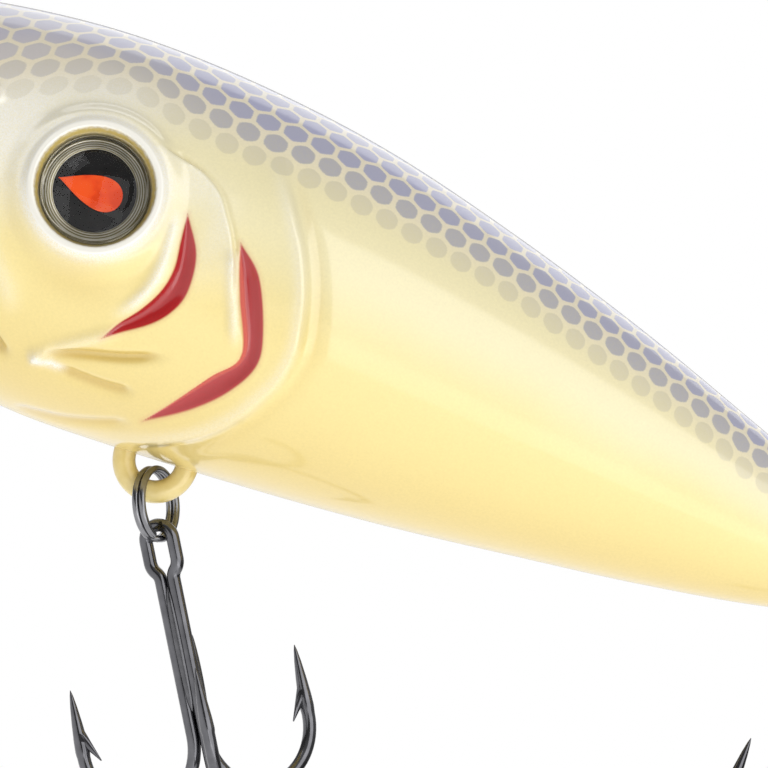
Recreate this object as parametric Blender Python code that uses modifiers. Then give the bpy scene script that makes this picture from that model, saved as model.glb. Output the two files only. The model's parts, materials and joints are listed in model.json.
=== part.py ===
"""A hard swimbait: two moulded halves, eyes, ballast, rattles, wire eyes, split rings and trebles.

The body lies level, nose towards -X and tail towards +X, its left side towards -Y and its back up.
The origin is the middle of the line-tie eye, where the lure hangs from the line. Metres.
"""

import math

import bmesh
import bpy
from mathutils import Matrix, Vector

MM = 0.001

# ---------------------------------------------------------------- driving sizes
BODY_LENGTH = 101 * MM
BODY_HEIGHT = 35.2 * MM
BODY_WIDTH = 33 * MM
WALL = 1.8 * MM
SEAM_GAP = 0.2 * MM
FIT_GAP = 0.3 * MM
WIRE_GAP = 0.15 * MM

NOSE_REACH = 9.5 * MM
CHIN_REACH = 21 * MM
TAIL_REACH = 3 * MM
NOSE_SIDE_REACH = 13.3 * MM
NOSE_HEIGHT = 0.5 * MM

END_EYE_WIRE = 1.7 * MM
END_EYE_RADIUS = 2.3 * MM
END_EYE_STANDOFF = 3.2 * MM
END_EYE_NECK = 0.9 * MM
END_EYE_SHANK = 9.5 * MM
END_EYE_FOOT = 1.0 * MM
HANGER_WIRE = 2.1 * MM
HANGER_RADIUS = 2.83 * MM
HANGER_LEG = 6 * MM
HANGER_FOOT = 3.2 * MM
HANGER_PLACE = 0.367

RING_DIAMETER = 6.9 * MM
RING_WIRE = 0.62 * MM
COIL_GAP = 0.05 * MM
RING_SLACK = 0.63 * MM

HOOK_WIRE = 1.2 * MM
HOOK_LENGTH = 26 * MM
HOOK_SPREAD = 12 * MM
HOOK_POINT_DEPTH = 13.6 * MM
HOOK_NEEDLE = 6 * MM
HOOK_EYE_WIDTH = 1.55 * MM
HOOK_EYE_LENGTH = 3.4 * MM
SINGLE_START = 9.8 * MM
BRAZE_GAP = 0.1 * MM
BARB_FROM_TIP = 6.7 * MM
BARB_LENGTH = 2.6 * MM
BARB_HEIGHT = 1.7 * MM
BARB_ROOT = 0.86 * MM
BARB_TIP = 0.14 * MM
# the point's own taper: how far up it the blade begins, and each last point's share of the wire
BLADE_SHARE = 0.42
NEEDLE = ((-3, 0.9), (-2, 0.66), (-1, 0.1))
EYE_PLAY = 0.35 * MM

EYE_PLACE = 0.2277
EYE_LIFT = math.radians(11.3)
EYE_DIAMETER = 9.7 * MM
EYE_RIM = 12.4 * MM
EYE_RIM_RISE = 0.9 * MM
EYE_POCKET_DEPTH = 2.4 * MM
EYE_CUP_WALL = 1.5 * MM
FOIL_THICKNESS = 0.3 * MM
PUPIL_THICKNESS = 0.25 * MM
LENS_EDGE = 1.0 * MM
LENS_DOME = 1.5 * MM
EYE_STACK_GAP = 0.15 * MM
PUPIL_LENGTH = 5.2 * MM
PUPIL_HEIGHT = 2.5 * MM

NOSE_BLOCK_END = 0.125
REAR_WALL = 0.64
TAIL_BLOCK_START = 0.835
RIB = 1.6 * MM
ANCHOR_SIDE = 3.4 * MM
PIN_DIAMETER = 2.4 * MM
PIN_LENGTH = 3 * MM
PIN_BOSS = 5.2 * MM
PIN_CLEARANCE = 0.25 * MM

KNOCKER_DIAMETER = 8 * MM
RATTLE_DIAMETER = 5 * MM
SHELF_THICKNESS = 1.2 * MM
TRACK_SHARE = 0.56
KNOCKER_SHELF_RISE = 9.4 * MM
REAR_SHELF_RISE = 7.2 * MM
FRONT_SHELF_RISE = 15 * MM
RATTLE_TRAVEL = 3 * MM
FRONT_BALLAST_HEIGHT = 6.5 * MM

# the side outline as shares of the body's length and height: the back, then the belly
BACK = [
    (0.0, 0.4), (0.086, 0.474), (0.201, 0.526), (0.322, 0.533), (0.449, 0.503),
    (0.582, 0.429), (0.718, 0.33), (0.857, 0.207), (1.0, 0.073),
]
BELLY = [
    (0.0, -0.42), (0.221, -0.472), (0.312, -0.462), (0.459, -0.423), (0.576, -0.381),
    (0.691, -0.327), (0.804, -0.27), (0.916, -0.199), (1.0, -0.118),
]

# how square the body's ends are: 2 is round, and more is blunter
BROW_POWER = 3
CHIN_POWER = 2.5
NOSE_SIDE_POWER = 2.6
TAIL_POWER = 2

# where the loose pieces lie at rest: leans are from straight down towards the tail
BELLY_SEAT_LEAN = math.radians(3)
BELLY_RING_LEAN = math.radians(28)
BELLY_RING_YAW = math.radians(28)
BELLY_HOOK_LEAN = math.radians(34)
BELLY_HOOK_TURN = math.radians(118)
TAIL_SEAT_LEAN = math.radians(40)
TAIL_RING_LEAN = math.radians(30)
TAIL_RING_YAW = math.radians(0)
TAIL_HOOK_LEAN = math.radians(0)
TAIL_HOOK_TURN = math.radians(90)
NOSE_SEAT_LEAN = math.radians(-8)
NOSE_RING_LEAN = math.radians(-8)
NOSE_RING_YAW = math.radians(8)

# ---------------------------------------------------------------- scene and small helpers
for old in list(bpy.data.objects):
    bpy.data.objects.remove(old, do_unlink=True)

parts = bpy.data.collections.new("swimbait")
cutters = bpy.data.collections.new("cutters")
for group in (parts, cutters):
    bpy.context.scene.collection.children.link(group)


def material(name, colour, metallic, roughness):
    made = bpy.data.materials.new(name)
    made.use_nodes = True
    shader = made.node_tree.nodes["Principled BSDF"]
    shader.inputs["Base Color"].default_value = (*colour, 1)
    shader.inputs["Metallic"].default_value = metallic
    shader.inputs["Roughness"].default_value = roughness
    return made


def keep(obj, colour, metallic=0.0, roughness=0.4):
    """Put a finished piece among the lure's parts with a material of its own."""
    for group in list(obj.users_collection):
        group.objects.unlink(obj)
    parts.objects.link(obj)
    obj.data.materials.clear()
    obj.data.materials.append(material(obj.name, colour, metallic, roughness))
    return obj


def guide(obj):
    """Mark a body that only shapes others."""
    obj.hide_render = True
    obj.display_type = "WIRE"
    return obj


def mesh_object(name, bm):
    bm.normal_update()
    bmesh.ops.recalc_face_normals(bm, faces=bm.faces)
    mesh = bpy.data.meshes.new(name)
    bm.to_mesh(mesh)
    bm.free()
    obj = bpy.data.objects.new(name, mesh)
    cutters.objects.link(obj)
    return obj


def boolean(target, other, operation):
    step = target.modifiers.new(f"{operation.lower()} {other.name}", "BOOLEAN")
    step.object = other
    step.operation = operation
    step.solver = "EXACT"


def box(name, low, high):
    bm = bmesh.new()
    bmesh.ops.create_cube(bm, size=1)
    low, high = Vector(low), Vector(high)
    bmesh.ops.scale(bm, vec=high - low, verts=bm.verts)
    bmesh.ops.translate(bm, vec=(low + high) / 2, verts=bm.verts)
    return guide(mesh_object(name, bm))


def cylinder(name, frame, radius, low, high, segments=24):
    """A round bar along the frame's own Z, from low to high."""
    bm = bmesh.new()
    bmesh.ops.create_cone(
        bm, cap_ends=True, segments=segments, radius1=radius, radius2=radius, depth=high - low
    )
    bmesh.ops.translate(bm, vec=(0, 0, (low + high) / 2), verts=bm.verts)
    bmesh.ops.transform(bm, matrix=frame, verts=bm.verts)
    return guide(mesh_object(name, bm))


def across(x, z):
    """A frame at (x, z) on the seam, its Z along +Y."""
    return Matrix.Translation((x, 0, z)) @ Matrix.Rotation(-math.pi / 2, 4, "X")


def wire(name, points, radius, needle=()):
    """A round wire along points. needle maps a point's index to its share of the radius."""
    curve = bpy.data.curves.new(name, "CURVE")
    curve.dimensions = "3D"
    curve.bevel_depth = radius
    curve.bevel_resolution = 2
    curve.render_resolution_u = 0
    curve.use_fill_caps = True
    spline = curve.splines.new("POLY")
    spline.points.add(len(points) - 1)
    for point, place in zip(spline.points, points):
        point.co = (*place, 1)
    for index, share in dict(needle).items():
        spline.points[index].radius = share
    obj = bpy.data.objects.new(name, curve)
    cutters.objects.link(obj)
    return obj


def solid_wire(name, points, radius, needle=()):
    """The same wire as a closed mesh, for cutting and joining."""
    curve = wire(name + " curve", points, radius, needle)
    bpy.context.view_layer.update()
    seen = curve.evaluated_get(bpy.context.evaluated_depsgraph_get())
    mesh = bpy.data.meshes.new_from_object(seen)
    bm = bmesh.new()
    bm.from_mesh(mesh)
    bmesh.ops.remove_doubles(bm, verts=bm.verts, dist=0.001 * MM)
    bmesh.ops.recalc_face_normals(bm, faces=bm.faces)
    bm.to_mesh(mesh)
    bm.free()
    obj = bpy.data.objects.new(name, mesh)
    obj.matrix_world = curve.matrix_world
    cutters.objects.link(obj)
    bpy.data.objects.remove(curve, do_unlink=True)
    return obj


def smooth(obj):
    obj.data.shade_smooth()
    obj.data.set_sharp_from_angle(angle=math.radians(40))
    return obj


# ---------------------------------------------------------------- the body's surface
NOSE_X = END_EYE_STANDOFF
TAIL_X = NOSE_X + BODY_LENGTH


def station(share):
    """The place along X at a share of the body's length."""
    return NOSE_X + share * BODY_LENGTH


def through(stations, share):
    """A smooth curve through stations, with each one's slope taken from its neighbours."""
    last = len(stations) - 1
    i = max(k for k in range(last) if k == 0 or stations[k][0] <= share)
    (x0, y0), (x1, y1) = stations[i], stations[i + 1]
    before, after = stations[max(i - 1, 0)], stations[min(i + 2, last)]
    slope0 = (y1 - before[1]) / (x1 - before[0])
    slope1 = (after[1] - y0) / (after[0] - x0)
    t, span = (share - x0) / (x1 - x0), x1 - x0
    return (
        (2 * t**3 - 3 * t**2 + 1) * y0
        + (t**3 - 2 * t**2 + t) * span * slope0
        + (3 * t**2 - 2 * t**3) * y1
        + (t**3 - t**2) * span * slope1
    )


def rounded_end(distance, reach, power):
    """How far a section has grown at a distance from the body's end: 0 at the end, 1 at reach."""
    if distance >= reach:
        return 1.0
    left = 1 - max(distance, 0) / reach
    return (1 - left**power) ** (1 / power)


def section(x, inset=0.0):
    """(middle height, half height, half width) of the section at x, or of a smaller one inside it."""
    share = min(max((x - NOSE_X) / BODY_LENGTH, 0), 1)
    back = through(BACK, share) * BODY_HEIGHT - inset
    belly = through(BELLY, share) * BODY_HEIGHT + inset
    width = ((back - belly) / 2 + inset) * BODY_WIDTH / BODY_HEIGHT - inset
    head, tail = x - NOSE_X - inset, TAIL_X - inset - x
    end = rounded_end(tail, TAIL_REACH, TAIL_POWER)
    back = NOSE_HEIGHT + (back - NOSE_HEIGHT) * rounded_end(head, NOSE_REACH, BROW_POWER)
    belly = NOSE_HEIGHT + (belly - NOSE_HEIGHT) * rounded_end(head, CHIN_REACH, CHIN_POWER)
    width *= rounded_end(head, NOSE_SIDE_REACH, NOSE_SIDE_POWER)
    return (back + belly) / 2, (back - belly) / 2 * end, width * end


def belly_height(x):
    middle, half, _ = section(x)
    return middle - half


def skin_frame(x, lift, side):
    """A frame on the skin at x, a lift angle up its section. Its Z faces out, its X tailwards."""

    def skin(place, angle):
        middle, half, width = section(place)
        return Vector((place, side * width * math.cos(angle), middle + half * math.sin(angle)))

    step = 0.5 * MM
    here = skin(x, lift)
    tailward = (skin(x + step, lift) - skin(x - step, lift)).normalized()
    upward = (skin(x, lift + 0.02) - skin(x, lift - 0.02)).normalized()
    out = tailward.cross(upward).normalized()
    if out.y * side < 0:
        out = -out
    return Matrix.Translation(here) @ Matrix((tailward, out.cross(tailward), out)).transposed().to_4x4()


def lofted_body(name, inset, around=32, along=34):
    """The body's shape: a sphere whose poles lie on X, with each ring moved onto its section."""
    bm = bmesh.new()
    bmesh.ops.create_uvsphere(bm, u_segments=around, v_segments=along, radius=1)
    length = BODY_LENGTH - 2 * inset
    for vert in bm.verts:
        side, up, forward = vert.co
        x = NOSE_X + inset + length * (1 - forward) / 2
        middle, half, width = section(x, inset)
        reach = math.hypot(side, up)
        if reach < 1e-6:
            vert.co = (x, 0, middle)
        else:
            vert.co = (x, width * side / reach, middle + half * up / reach)
    return guide(mesh_object(name, bm))


def half_of(whole, name, side):
    """The part of a body on one side of the seam, closed by a flat face there."""
    bm = bmesh.new()
    bm.from_mesh(whole.data)
    cut = bmesh.ops.bisect_plane(
        bm,
        geom=bm.verts[:] + bm.edges[:] + bm.faces[:],
        plane_co=(0, side * SEAM_GAP / 2, 0),
        plane_no=(0, -side, 0),
        clear_outer=True,
    )
    rim = [e for e in cut["geom_cut"] if isinstance(e, bmesh.types.BMEdge)]
    bmesh.ops.contextual_create(bm, geom=rim)
    return mesh_object(name, bm)


# ---------------------------------------------------------------- wire eyes and hangers
def arc(centre, radius, start, end, steps):
    """Points on a circle in a plane, by angle in radians."""
    return [
        Vector((centre[0] + radius * math.cos(a), centre[1] + radius * math.sin(a)))
        for a in (start + (end - start) * i / steps for i in range(steps + 1))
    ]


def eye_outline(radius, spacing, fillet, straight=0.0, steps=18):
    """A wire eye on two legs side by side, in a plane: the eye's middle at (0, 0), the legs towards -Y.

    It runs from the right leg, round the eye and down to the left leg.
    """
    leg = spacing / 2
    side = math.acos((leg + fillet) / (radius + fillet))
    depth = (radius + fillet) * math.sin(side)
    lower, upper = -straight / 2, straight / 2
    neck = arc((leg + fillet, lower - depth), fillet, math.pi, math.pi - side, 4)
    cheek = arc((0, lower), radius, -side, 0, 3)
    crown = arc((0, upper), radius, 0, math.pi / 2, steps // 4)
    half = neck + cheek[1:] + (crown if straight else crown[1:])
    return half + [Vector((-p.x, p.y)) for p in reversed(half[:-1])]


LEG_SPACING = END_EYE_WIRE + BRAZE_GAP


def end_eye_points(direction):
    """The line tie (direction -1) or the tail eye (+1): an eye, two legs and their turned-out feet."""
    outline = eye_outline(END_EYE_RADIUS, LEG_SPACING, END_EYE_NECK)
    leg_end = -(END_EYE_RADIUS + END_EYE_SHANK)
    bend = END_EYE_WIRE
    turn = arc((LEG_SPACING / 2 + bend, leg_end + bend), bend, math.pi, 1.5 * math.pi, 4)
    foot = [Vector((LEG_SPACING / 2 + bend + END_EYE_FOOT, leg_end))]
    start = foot + turn[::-1]
    plane = start + outline + [Vector((-p.x, p.y)) for p in reversed(start)]
    centre = 0.0 if direction < 0 else TAIL_X + END_EYE_STANDOFF
    height = 0.0 if direction < 0 else tail_middle()
    return [Vector((centre + direction * p.y, 0, height + p.x)) for p in plane]


def tail_middle():
    return section(TAIL_X - TAIL_REACH)[0]


HANGER_X = station(HANGER_PLACE)


def hanger_centre():
    return Vector((HANGER_X, 0, belly_height(HANGER_X)))


def hanger_points():
    """The belly hanger: a U of wire whose legs end in feet turned along the seam."""
    centre = hanger_centre()
    bend = HANGER_WIRE
    foot_turn = arc((HANGER_RADIUS + bend, HANGER_LEG - bend), bend, math.pi, math.pi / 2, 4)
    foot = [Vector((HANGER_RADIUS + bend + HANGER_FOOT, HANGER_LEG))]
    start = foot + foot_turn[::-1]
    bow = arc((0, 0), HANGER_RADIUS, 0, -math.pi, 16)
    plane = start + bow + [Vector((-p.x, p.y)) for p in reversed(start)]
    return [centre + Vector((p.x, 0, p.y)) for p in plane]


WIRE_PATHS = {
    "line_tie_wire": end_eye_points(-1),
    "belly_hanger": hanger_points(),
    "tail_hanger": end_eye_points(1),
}
for name, points in WIRE_PATHS.items():
    if name == "belly_hanger":
        keep(smooth(solid_wire(name, points, HANGER_WIRE / 2)), (0.82, 0.72, 0.36), 0.0, 0.35)
    else:
        keep(smooth(solid_wire(name, points, END_EYE_WIRE / 2)), (0.5, 0.5, 0.52), 1.0, 0.3)

# ---------------------------------------------------------------- what the halves are hollowed by
cavity = lofted_body("cavity", WALL, 28, 30)
FAR = BODY_HEIGHT


def stiffen(piece):
    """Leave this shape standing inside the body."""
    boolean(cavity, piece, "DIFFERENCE")


stiffen(box("nose_block", (-FAR, -FAR, -FAR), (station(NOSE_BLOCK_END), FAR, FAR)))
stiffen(box("tail_block", (station(TAIL_BLOCK_START), -FAR, -FAR), (TAIL_X + FAR, FAR, FAR)))

hanger_reach = HANGER_RADIUS + HANGER_WIRE + HANGER_FOOT + ANCHOR_SIDE / 2
MID_WALL_X = HANGER_X + hanger_reach
REAR_WALL_X = station(REAR_WALL)
TAIL_BLOCK_X = station(TAIL_BLOCK_START)
for name, wall_x in {"mid_wall": MID_WALL_X, "rear_wall": REAR_WALL_X}.items():
    stiffen(box(name, (wall_x - RIB, -FAR, -FAR), (wall_x, FAR, FAR)))

anchor_top = hanger_centre().z + HANGER_LEG + ANCHOR_SIDE / 2
stiffen(
    box(
        "anchor_block",
        (HANGER_X - hanger_reach, -ANCHOR_SIDE, -FAR),
        (HANGER_X + hanger_reach, ANCHOR_SIDE, anchor_top),
    )
)

# each locating pin's share of the body's length, and its share of the way up to the back
PIN_PLACES = ((0.075, 0.62), (0.36, 0.66), (0.6, 0.62), (0.865, 0.66))
PINS = []
for share, climb in PIN_PLACES:
    x = station(share)
    middle, half, _ = section(x)
    PINS.append((x, middle + half * climb))
for number, (x, z) in enumerate(PINS, 1):
    stiffen(cylinder(f"pin_boss_{number}", across(x, z), PIN_BOSS / 2, -FAR, FAR, 16))


def ball_shelf(name, low, high, rise, ball):
    """Two ledges with a track between them. Returns their underside's height and the rolling ball's."""
    deck = belly_height((low + high) / 2) + rise
    half_track = ball * TRACK_SHARE / 2
    for label, side in (("left", -1), ("right", 1)):
        near, away = sorted((side * half_track, side * FAR))
        ledge = box(f"{name}_{label}", (low, near, deck - SHELF_THICKNESS), (high, away, deck))
        stiffen(ledge)
    reach = ball / 2 + FIT_GAP
    return deck - SHELF_THICKNESS, deck + math.sqrt(reach**2 - half_track**2)


NOSE_BLOCK_X = station(NOSE_BLOCK_END)
FRONT_STOP_X = NOSE_BLOCK_X + RATTLE_DIAMETER + 2 * RATTLE_TRAVEL + 2 * FIT_GAP
knocker_deck, knocker_z = ball_shelf(
    "knocker_shelf", MID_WALL_X, REAR_WALL_X, KNOCKER_SHELF_RISE, KNOCKER_DIAMETER
)
_, rear_z = ball_shelf("rear_shelf", REAR_WALL_X, TAIL_BLOCK_X, REAR_SHELF_RISE, RATTLE_DIAMETER)
_, front_z = ball_shelf("front_shelf", NOSE_BLOCK_X, FRONT_STOP_X, FRONT_SHELF_RISE, RATTLE_DIAMETER)
stiffen(
    box(
        "front_stop",
        (FRONT_STOP_X, -FAR, front_z - RATTLE_DIAMETER),
        (FRONT_STOP_X + RIB, FAR, front_z + RATTLE_DIAMETER),
    )
)

EYES = {}
for side_name, side in (("left", -1), ("right", 1)):
    frame = skin_frame(station(EYE_PLACE), EYE_LIFT, side)
    EYES[side_name] = frame
    cup_depth = -(EYE_POCKET_DEPTH + EYE_CUP_WALL)
    cup_radius = EYE_DIAMETER / 2 + EYE_CUP_WALL
    stiffen(cylinder(f"eye_cup_{side_name}", frame, cup_radius, cup_depth, FAR, 32))

# ---------------------------------------------------------------- the two halves
outside = lofted_body("outside", 0.0)
hanger_bore = HANGER_WIRE / 2 + WIRE_GAP
channels = [guide(solid_wire("belly_hanger_channel", WIRE_PATHS["belly_hanger"], hanger_bore))]
channel_side = END_EYE_WIRE / 2 + WIRE_GAP
foot_reach = LEG_SPACING / 2 + END_EYE_WIRE + END_EYE_FOOT + WIRE_GAP
tail_eye = Vector((TAIL_X + END_EYE_STANDOFF, 0, tail_middle()))
for label, centre, height, inward in (("nose", 0.0, 0.0, 1), ("tail", tail_eye.x, tail_eye.z, -1)):
    deep = END_EYE_RADIUS + END_EYE_SHANK + channel_side
    shallow = deep - 2 * channel_side
    for name, start, end, reach in (
        ("leg_slot", 0, deep, LEG_SPACING / 2 + channel_side),
        ("foot_slot", shallow, deep, foot_reach),
    ):
        low, high = sorted((centre + inward * start, centre + inward * end))
        bottom, top = height - reach, height + reach
        channels.append(box(f"{label}_{name}", (low, -channel_side, bottom), (high, channel_side, top)))
for side_name, side in (("left", -1), ("right", 1)):
    half = half_of(outside, f"body_{side_name}", side)
    frame = EYES[side_name]
    rim = cylinder(f"eye_rim_{side_name}", frame, EYE_RIM / 2, -WALL, EYE_RIM_RISE, 40)
    pocket = cylinder(
        f"eye_pocket_{side_name}", frame, EYE_DIAMETER / 2 + FIT_GAP, -EYE_POCKET_DEPTH, FAR, 40
    )
    boolean(half, rim, "UNION")
    boolean(half, cavity, "DIFFERENCE")
    boolean(half, pocket, "DIFFERENCE")
    for channel in channels:
        boolean(half, channel, "DIFFERENCE")
    for number, (x, z) in enumerate(PINS, 1):
        if side > 0:
            pin = cylinder(f"pin_{number}", across(x, z), PIN_DIAMETER / 2, -PIN_LENGTH, PIN_LENGTH, 16)
            boolean(half, pin, "UNION")
        else:
            hole = PIN_DIAMETER / 2 + PIN_CLEARANCE
            depth = PIN_LENGTH + FIT_GAP
            socket = cylinder(f"socket_{number}", across(x, z), hole, -depth, depth, 16)
            boolean(half, socket, "DIFFERENCE")
    keep(half, (0.93, 0.85, 0.55), 0.0, 0.25)

# ---------------------------------------------------------------- eyes
def turned(name, profile, frame, steps=32):
    """A turned piece: its profile runs from the axis out and back, top first, and is spun about Z."""
    bm = bmesh.new()
    verts = [bm.verts.new((radius, 0, height)) for radius, height in profile]
    edges = [bm.edges.new(pair) for pair in zip(verts, verts[1:])]
    mesh = bpy.data.meshes.new(name)
    bm.to_mesh(mesh)
    bm.free()
    obj = bpy.data.objects.new(name, mesh)
    cutters.objects.link(obj)
    spin = obj.modifiers.new("turned", "SCREW")
    spin.steps = steps
    spin.render_steps = steps
    spin.use_merge_vertices = True
    spin.merge_threshold = 0.00001
    spin.use_smooth_shade = True
    obj.matrix_world = frame
    return obj


def pupil(name, frame):
    """A flat leaf-shaped pupil with its point towards the nose."""
    curve = bpy.data.curves.new(name, "CURVE")
    curve.dimensions = "2D"
    curve.fill_mode = "BOTH"
    curve.extrude = PUPIL_THICKNESS / 2
    curve.render_resolution_u = 0
    spline = curve.splines.new("POLY")
    upper = [(-0.5, 0), (-0.18, 0.42), (0.16, 0.5), (0.5, 0.2), (0.34, 0)]
    corners = upper + [(along, -up) for along, up in reversed(upper[1:-1])]
    spline.points.add(len(corners) - 1)
    for point, (along, up) in zip(spline.points, corners):
        point.co = (along * PUPIL_LENGTH, up * PUPIL_HEIGHT, 0, 1)
    spline.use_cyclic_u = True
    obj = bpy.data.objects.new(name, curve)
    cutters.objects.link(obj)
    obj.matrix_world = frame
    return obj


for side_name, frame in EYES.items():
    floor = -EYE_POCKET_DEPTH
    foil_low = floor + EYE_STACK_GAP
    foil_high = foil_low + FOIL_THICKNESS
    radius = EYE_DIAMETER / 2
    foil_edge = radius - EYE_STACK_GAP
    foil = turned(
        f"eye_foil_{side_name}",
        [(0, foil_high), (foil_edge, foil_high), (foil_edge, foil_low), (0, foil_low)],
        frame,
    )
    keep(foil, (0.65, 0.66, 0.6), 1.0, 0.2)
    pupil_middle = foil_high + EYE_STACK_GAP + PUPIL_THICKNESS / 2
    keep(
        pupil(f"eye_pupil_{side_name}", frame @ Matrix.Translation((0, 0, pupil_middle))),
        (0.9, 0.25, 0.03),
        0.0,
        0.3,
    )
    lens_low = pupil_middle + PUPIL_THICKNESS / 2 + EYE_STACK_GAP
    lens_high = lens_low + LENS_EDGE
    ball = (radius**2 + LENS_DOME**2) / (2 * LENS_DOME)
    spread = math.asin(radius / ball)
    dome = [
        (ball * math.sin(a), lens_high + LENS_DOME - ball + ball * math.cos(a))
        for a in (spread * i / 6 for i in range(7))
    ]
    lens = turned(f"eye_lens_{side_name}", dome + [(radius, lens_low), (0, lens_low)], frame)
    keep(lens, (0.05, 0.05, 0.06), 0.0, 0.05)

# ---------------------------------------------------------------- ballast and rattles
def ballast(name, low, high, top):
    """Lead cast to the hollow's own shape, lying in the belly with its top flat."""
    blank = box(name + "_blank", (low, -FAR, -FAR), (high, FAR, top))
    obj = lofted_body(name, WALL + FIT_GAP, 24, 26)
    obj.hide_render = False
    obj.display_type = "TEXTURED"
    boolean(obj, blank, "INTERSECT")
    keep(obj, (0.2, 0.2, 0.21), 0.6, 0.6)


front_ballast_start = NOSE_BLOCK_X + FIT_GAP
ballast(
    "front_ballast",
    front_ballast_start,
    HANGER_X - hanger_reach - FIT_GAP,
    belly_height(front_ballast_start) + WALL + FRONT_BALLAST_HEIGHT,
)
ballast(
    "rear_ballast",
    MID_WALL_X + FIT_GAP,
    REAR_WALL_X - RIB - FIT_GAP,
    knocker_deck - FIT_GAP,
)


def ball(name, diameter, x, z):
    bm = bmesh.new()
    bmesh.ops.create_uvsphere(bm, u_segments=16, v_segments=10, radius=diameter / 2)
    obj = mesh_object(name, bm)
    obj.location = (x, 0, z)
    keep(smooth(obj), (0.62, 0.63, 0.65), 1.0, 0.2)


ball("knocker_ball", KNOCKER_DIAMETER, (MID_WALL_X + REAR_WALL_X - RIB) / 2, knocker_z)
rear_rest_x = REAR_WALL_X + FIT_GAP + RATTLE_DIAMETER / 2 + RATTLE_TRAVEL
ball("rear_rattle_ball", RATTLE_DIAMETER, rear_rest_x, rear_z)
ball("front_rattle_ball", RATTLE_DIAMETER, (NOSE_BLOCK_X + FRONT_STOP_X) / 2, front_z)

# ---------------------------------------------------------------- split rings and trebles
def lean_direction(lean):
    """Down, turned by lean towards the tail."""
    return Vector((math.sin(lean), 0, -math.cos(lean)))


def lean_side(lean):
    """At right angles to that direction, towards the tail."""
    return Vector((math.cos(lean), 0, math.sin(lean)))


TOWARDS_LEFT = Vector((0, -1, 0))
RING_RADIUS = (RING_DIAMETER - RING_WIRE) / 2
COIL_PITCH = RING_WIRE + COIL_GAP
RING_POINTS = 40


def frame_of(x_axis, z_axis, origin):
    y_axis = z_axis.cross(x_axis)
    return Matrix.Translation(origin) @ Matrix((x_axis, y_axis, z_axis)).transposed().to_4x4()


def split_ring_frame(eye_centre, eye_inner, seat_lean, lean, yaw):
    """Where a ring hangs in an eye: its X runs down through its low point, its Z is its own axis."""
    seat = eye_centre + lean_direction(seat_lean) * (eye_inner - RING_WIRE / 2 - RING_SLACK)
    down = lean_direction(lean)
    around = TOWARDS_LEFT * math.cos(yaw) - lean_side(lean) * math.sin(yaw)
    return frame_of(down, down.cross(around).normalized(), seat + down * RING_RADIUS)


def split_ring_points():
    """Two turns of one wire, the second beside the first, with a short step across between them."""
    step, gap, start = math.radians(30), math.radians(4), math.radians(110)
    turns = 4 * math.pi - step - gap
    points = []
    for i in range(RING_POINTS + 1):
        angle = turns * i / RING_POINTS
        rise = min(max((angle - (2 * math.pi - step - gap)) / step, 0), 1)
        points.append(
            Vector(
                (
                    RING_RADIUS * math.cos(start + angle),
                    RING_RADIUS * math.sin(start + angle),
                    COIL_PITCH * (rise - 0.5),
                )
            )
        )
    return points


def place(obj, frame, pivot=None):
    """Put a piece at a frame, hung on a pivot empty where it moves."""
    if pivot is None:
        obj.matrix_world = frame
    else:
        obj.parent = pivot
        obj.matrix_basis = pivot_frames[pivot.name].inverted() @ frame
    return obj


pivot_frames = {}


def make_pivot(name, frame, carrier=None):
    empty = bpy.data.objects.new(name, None)
    empty.empty_display_size = 3 * MM
    parts.objects.link(empty)
    pivot_frames[name] = frame
    place(empty, frame, carrier)
    return empty


def hook_path(offset, toward, start_depth):
    """One hook: down its shank, round the bend and up to the point. Depths are from the eye's outside."""
    radius = (HOOK_SPREAD - offset.dot(toward)) / 2
    bend_depth = HOOK_LENGTH - HOOK_WIRE / 2 - radius
    down = Vector((0, 0, -1))

    def at(out, depth):
        return offset + toward * out + down * depth

    shank = [at(0, start_depth), at(0, (start_depth + bend_depth) / 2)]
    bend = [
        at(radius * (1 - math.cos(a)), bend_depth + radius * math.sin(a))
        for a in (math.pi * i / 14 for i in range(15))
    ]
    point = [
        at(2 * radius, HOOK_POINT_DEPTH + HOOK_NEEDLE * share) for share in (1, BLADE_SHARE, 0)
    ]
    return shank + bend[:-1] + point


def barb(name, path, toward):
    """A raised cut behind the point, on the side that faces the shank."""
    tip, behind = path[-1], path[-3]
    along = (behind - tip).normalized()
    root = tip + along * (BARB_FROM_TIP - BARB_LENGTH)
    inward = (-toward - along * (-toward).dot(along)).normalized()
    lean = math.atan2(BARB_HEIGHT, BARB_LENGTH)
    reach = math.hypot(BARB_HEIGHT, BARB_LENGTH)
    direction = (along * math.cos(lean) + inward * math.sin(lean)).normalized()
    bm = bmesh.new()
    bmesh.ops.create_cone(
        bm, cap_ends=True, segments=8, radius1=BARB_ROOT / 2, radius2=BARB_TIP / 2, depth=reach
    )
    bmesh.ops.translate(bm, vec=(0, 0, reach / 2), verts=bm.verts)
    turn = Vector((0, 0, 1)).rotation_difference(direction).to_matrix().to_4x4()
    bmesh.ops.transform(bm, matrix=Matrix.Translation(root) @ turn, verts=bm.verts)
    return guide(mesh_object(name, bm))


SHANK_SPACING = HOOK_WIRE + BRAZE_GAP
# each hook's direction about the shank, from the eye's own right-hand side
HOOK_TURNS = {1: 0.0, -1: math.radians(120)}
SINGLE_TURN = math.radians(240)


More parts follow.
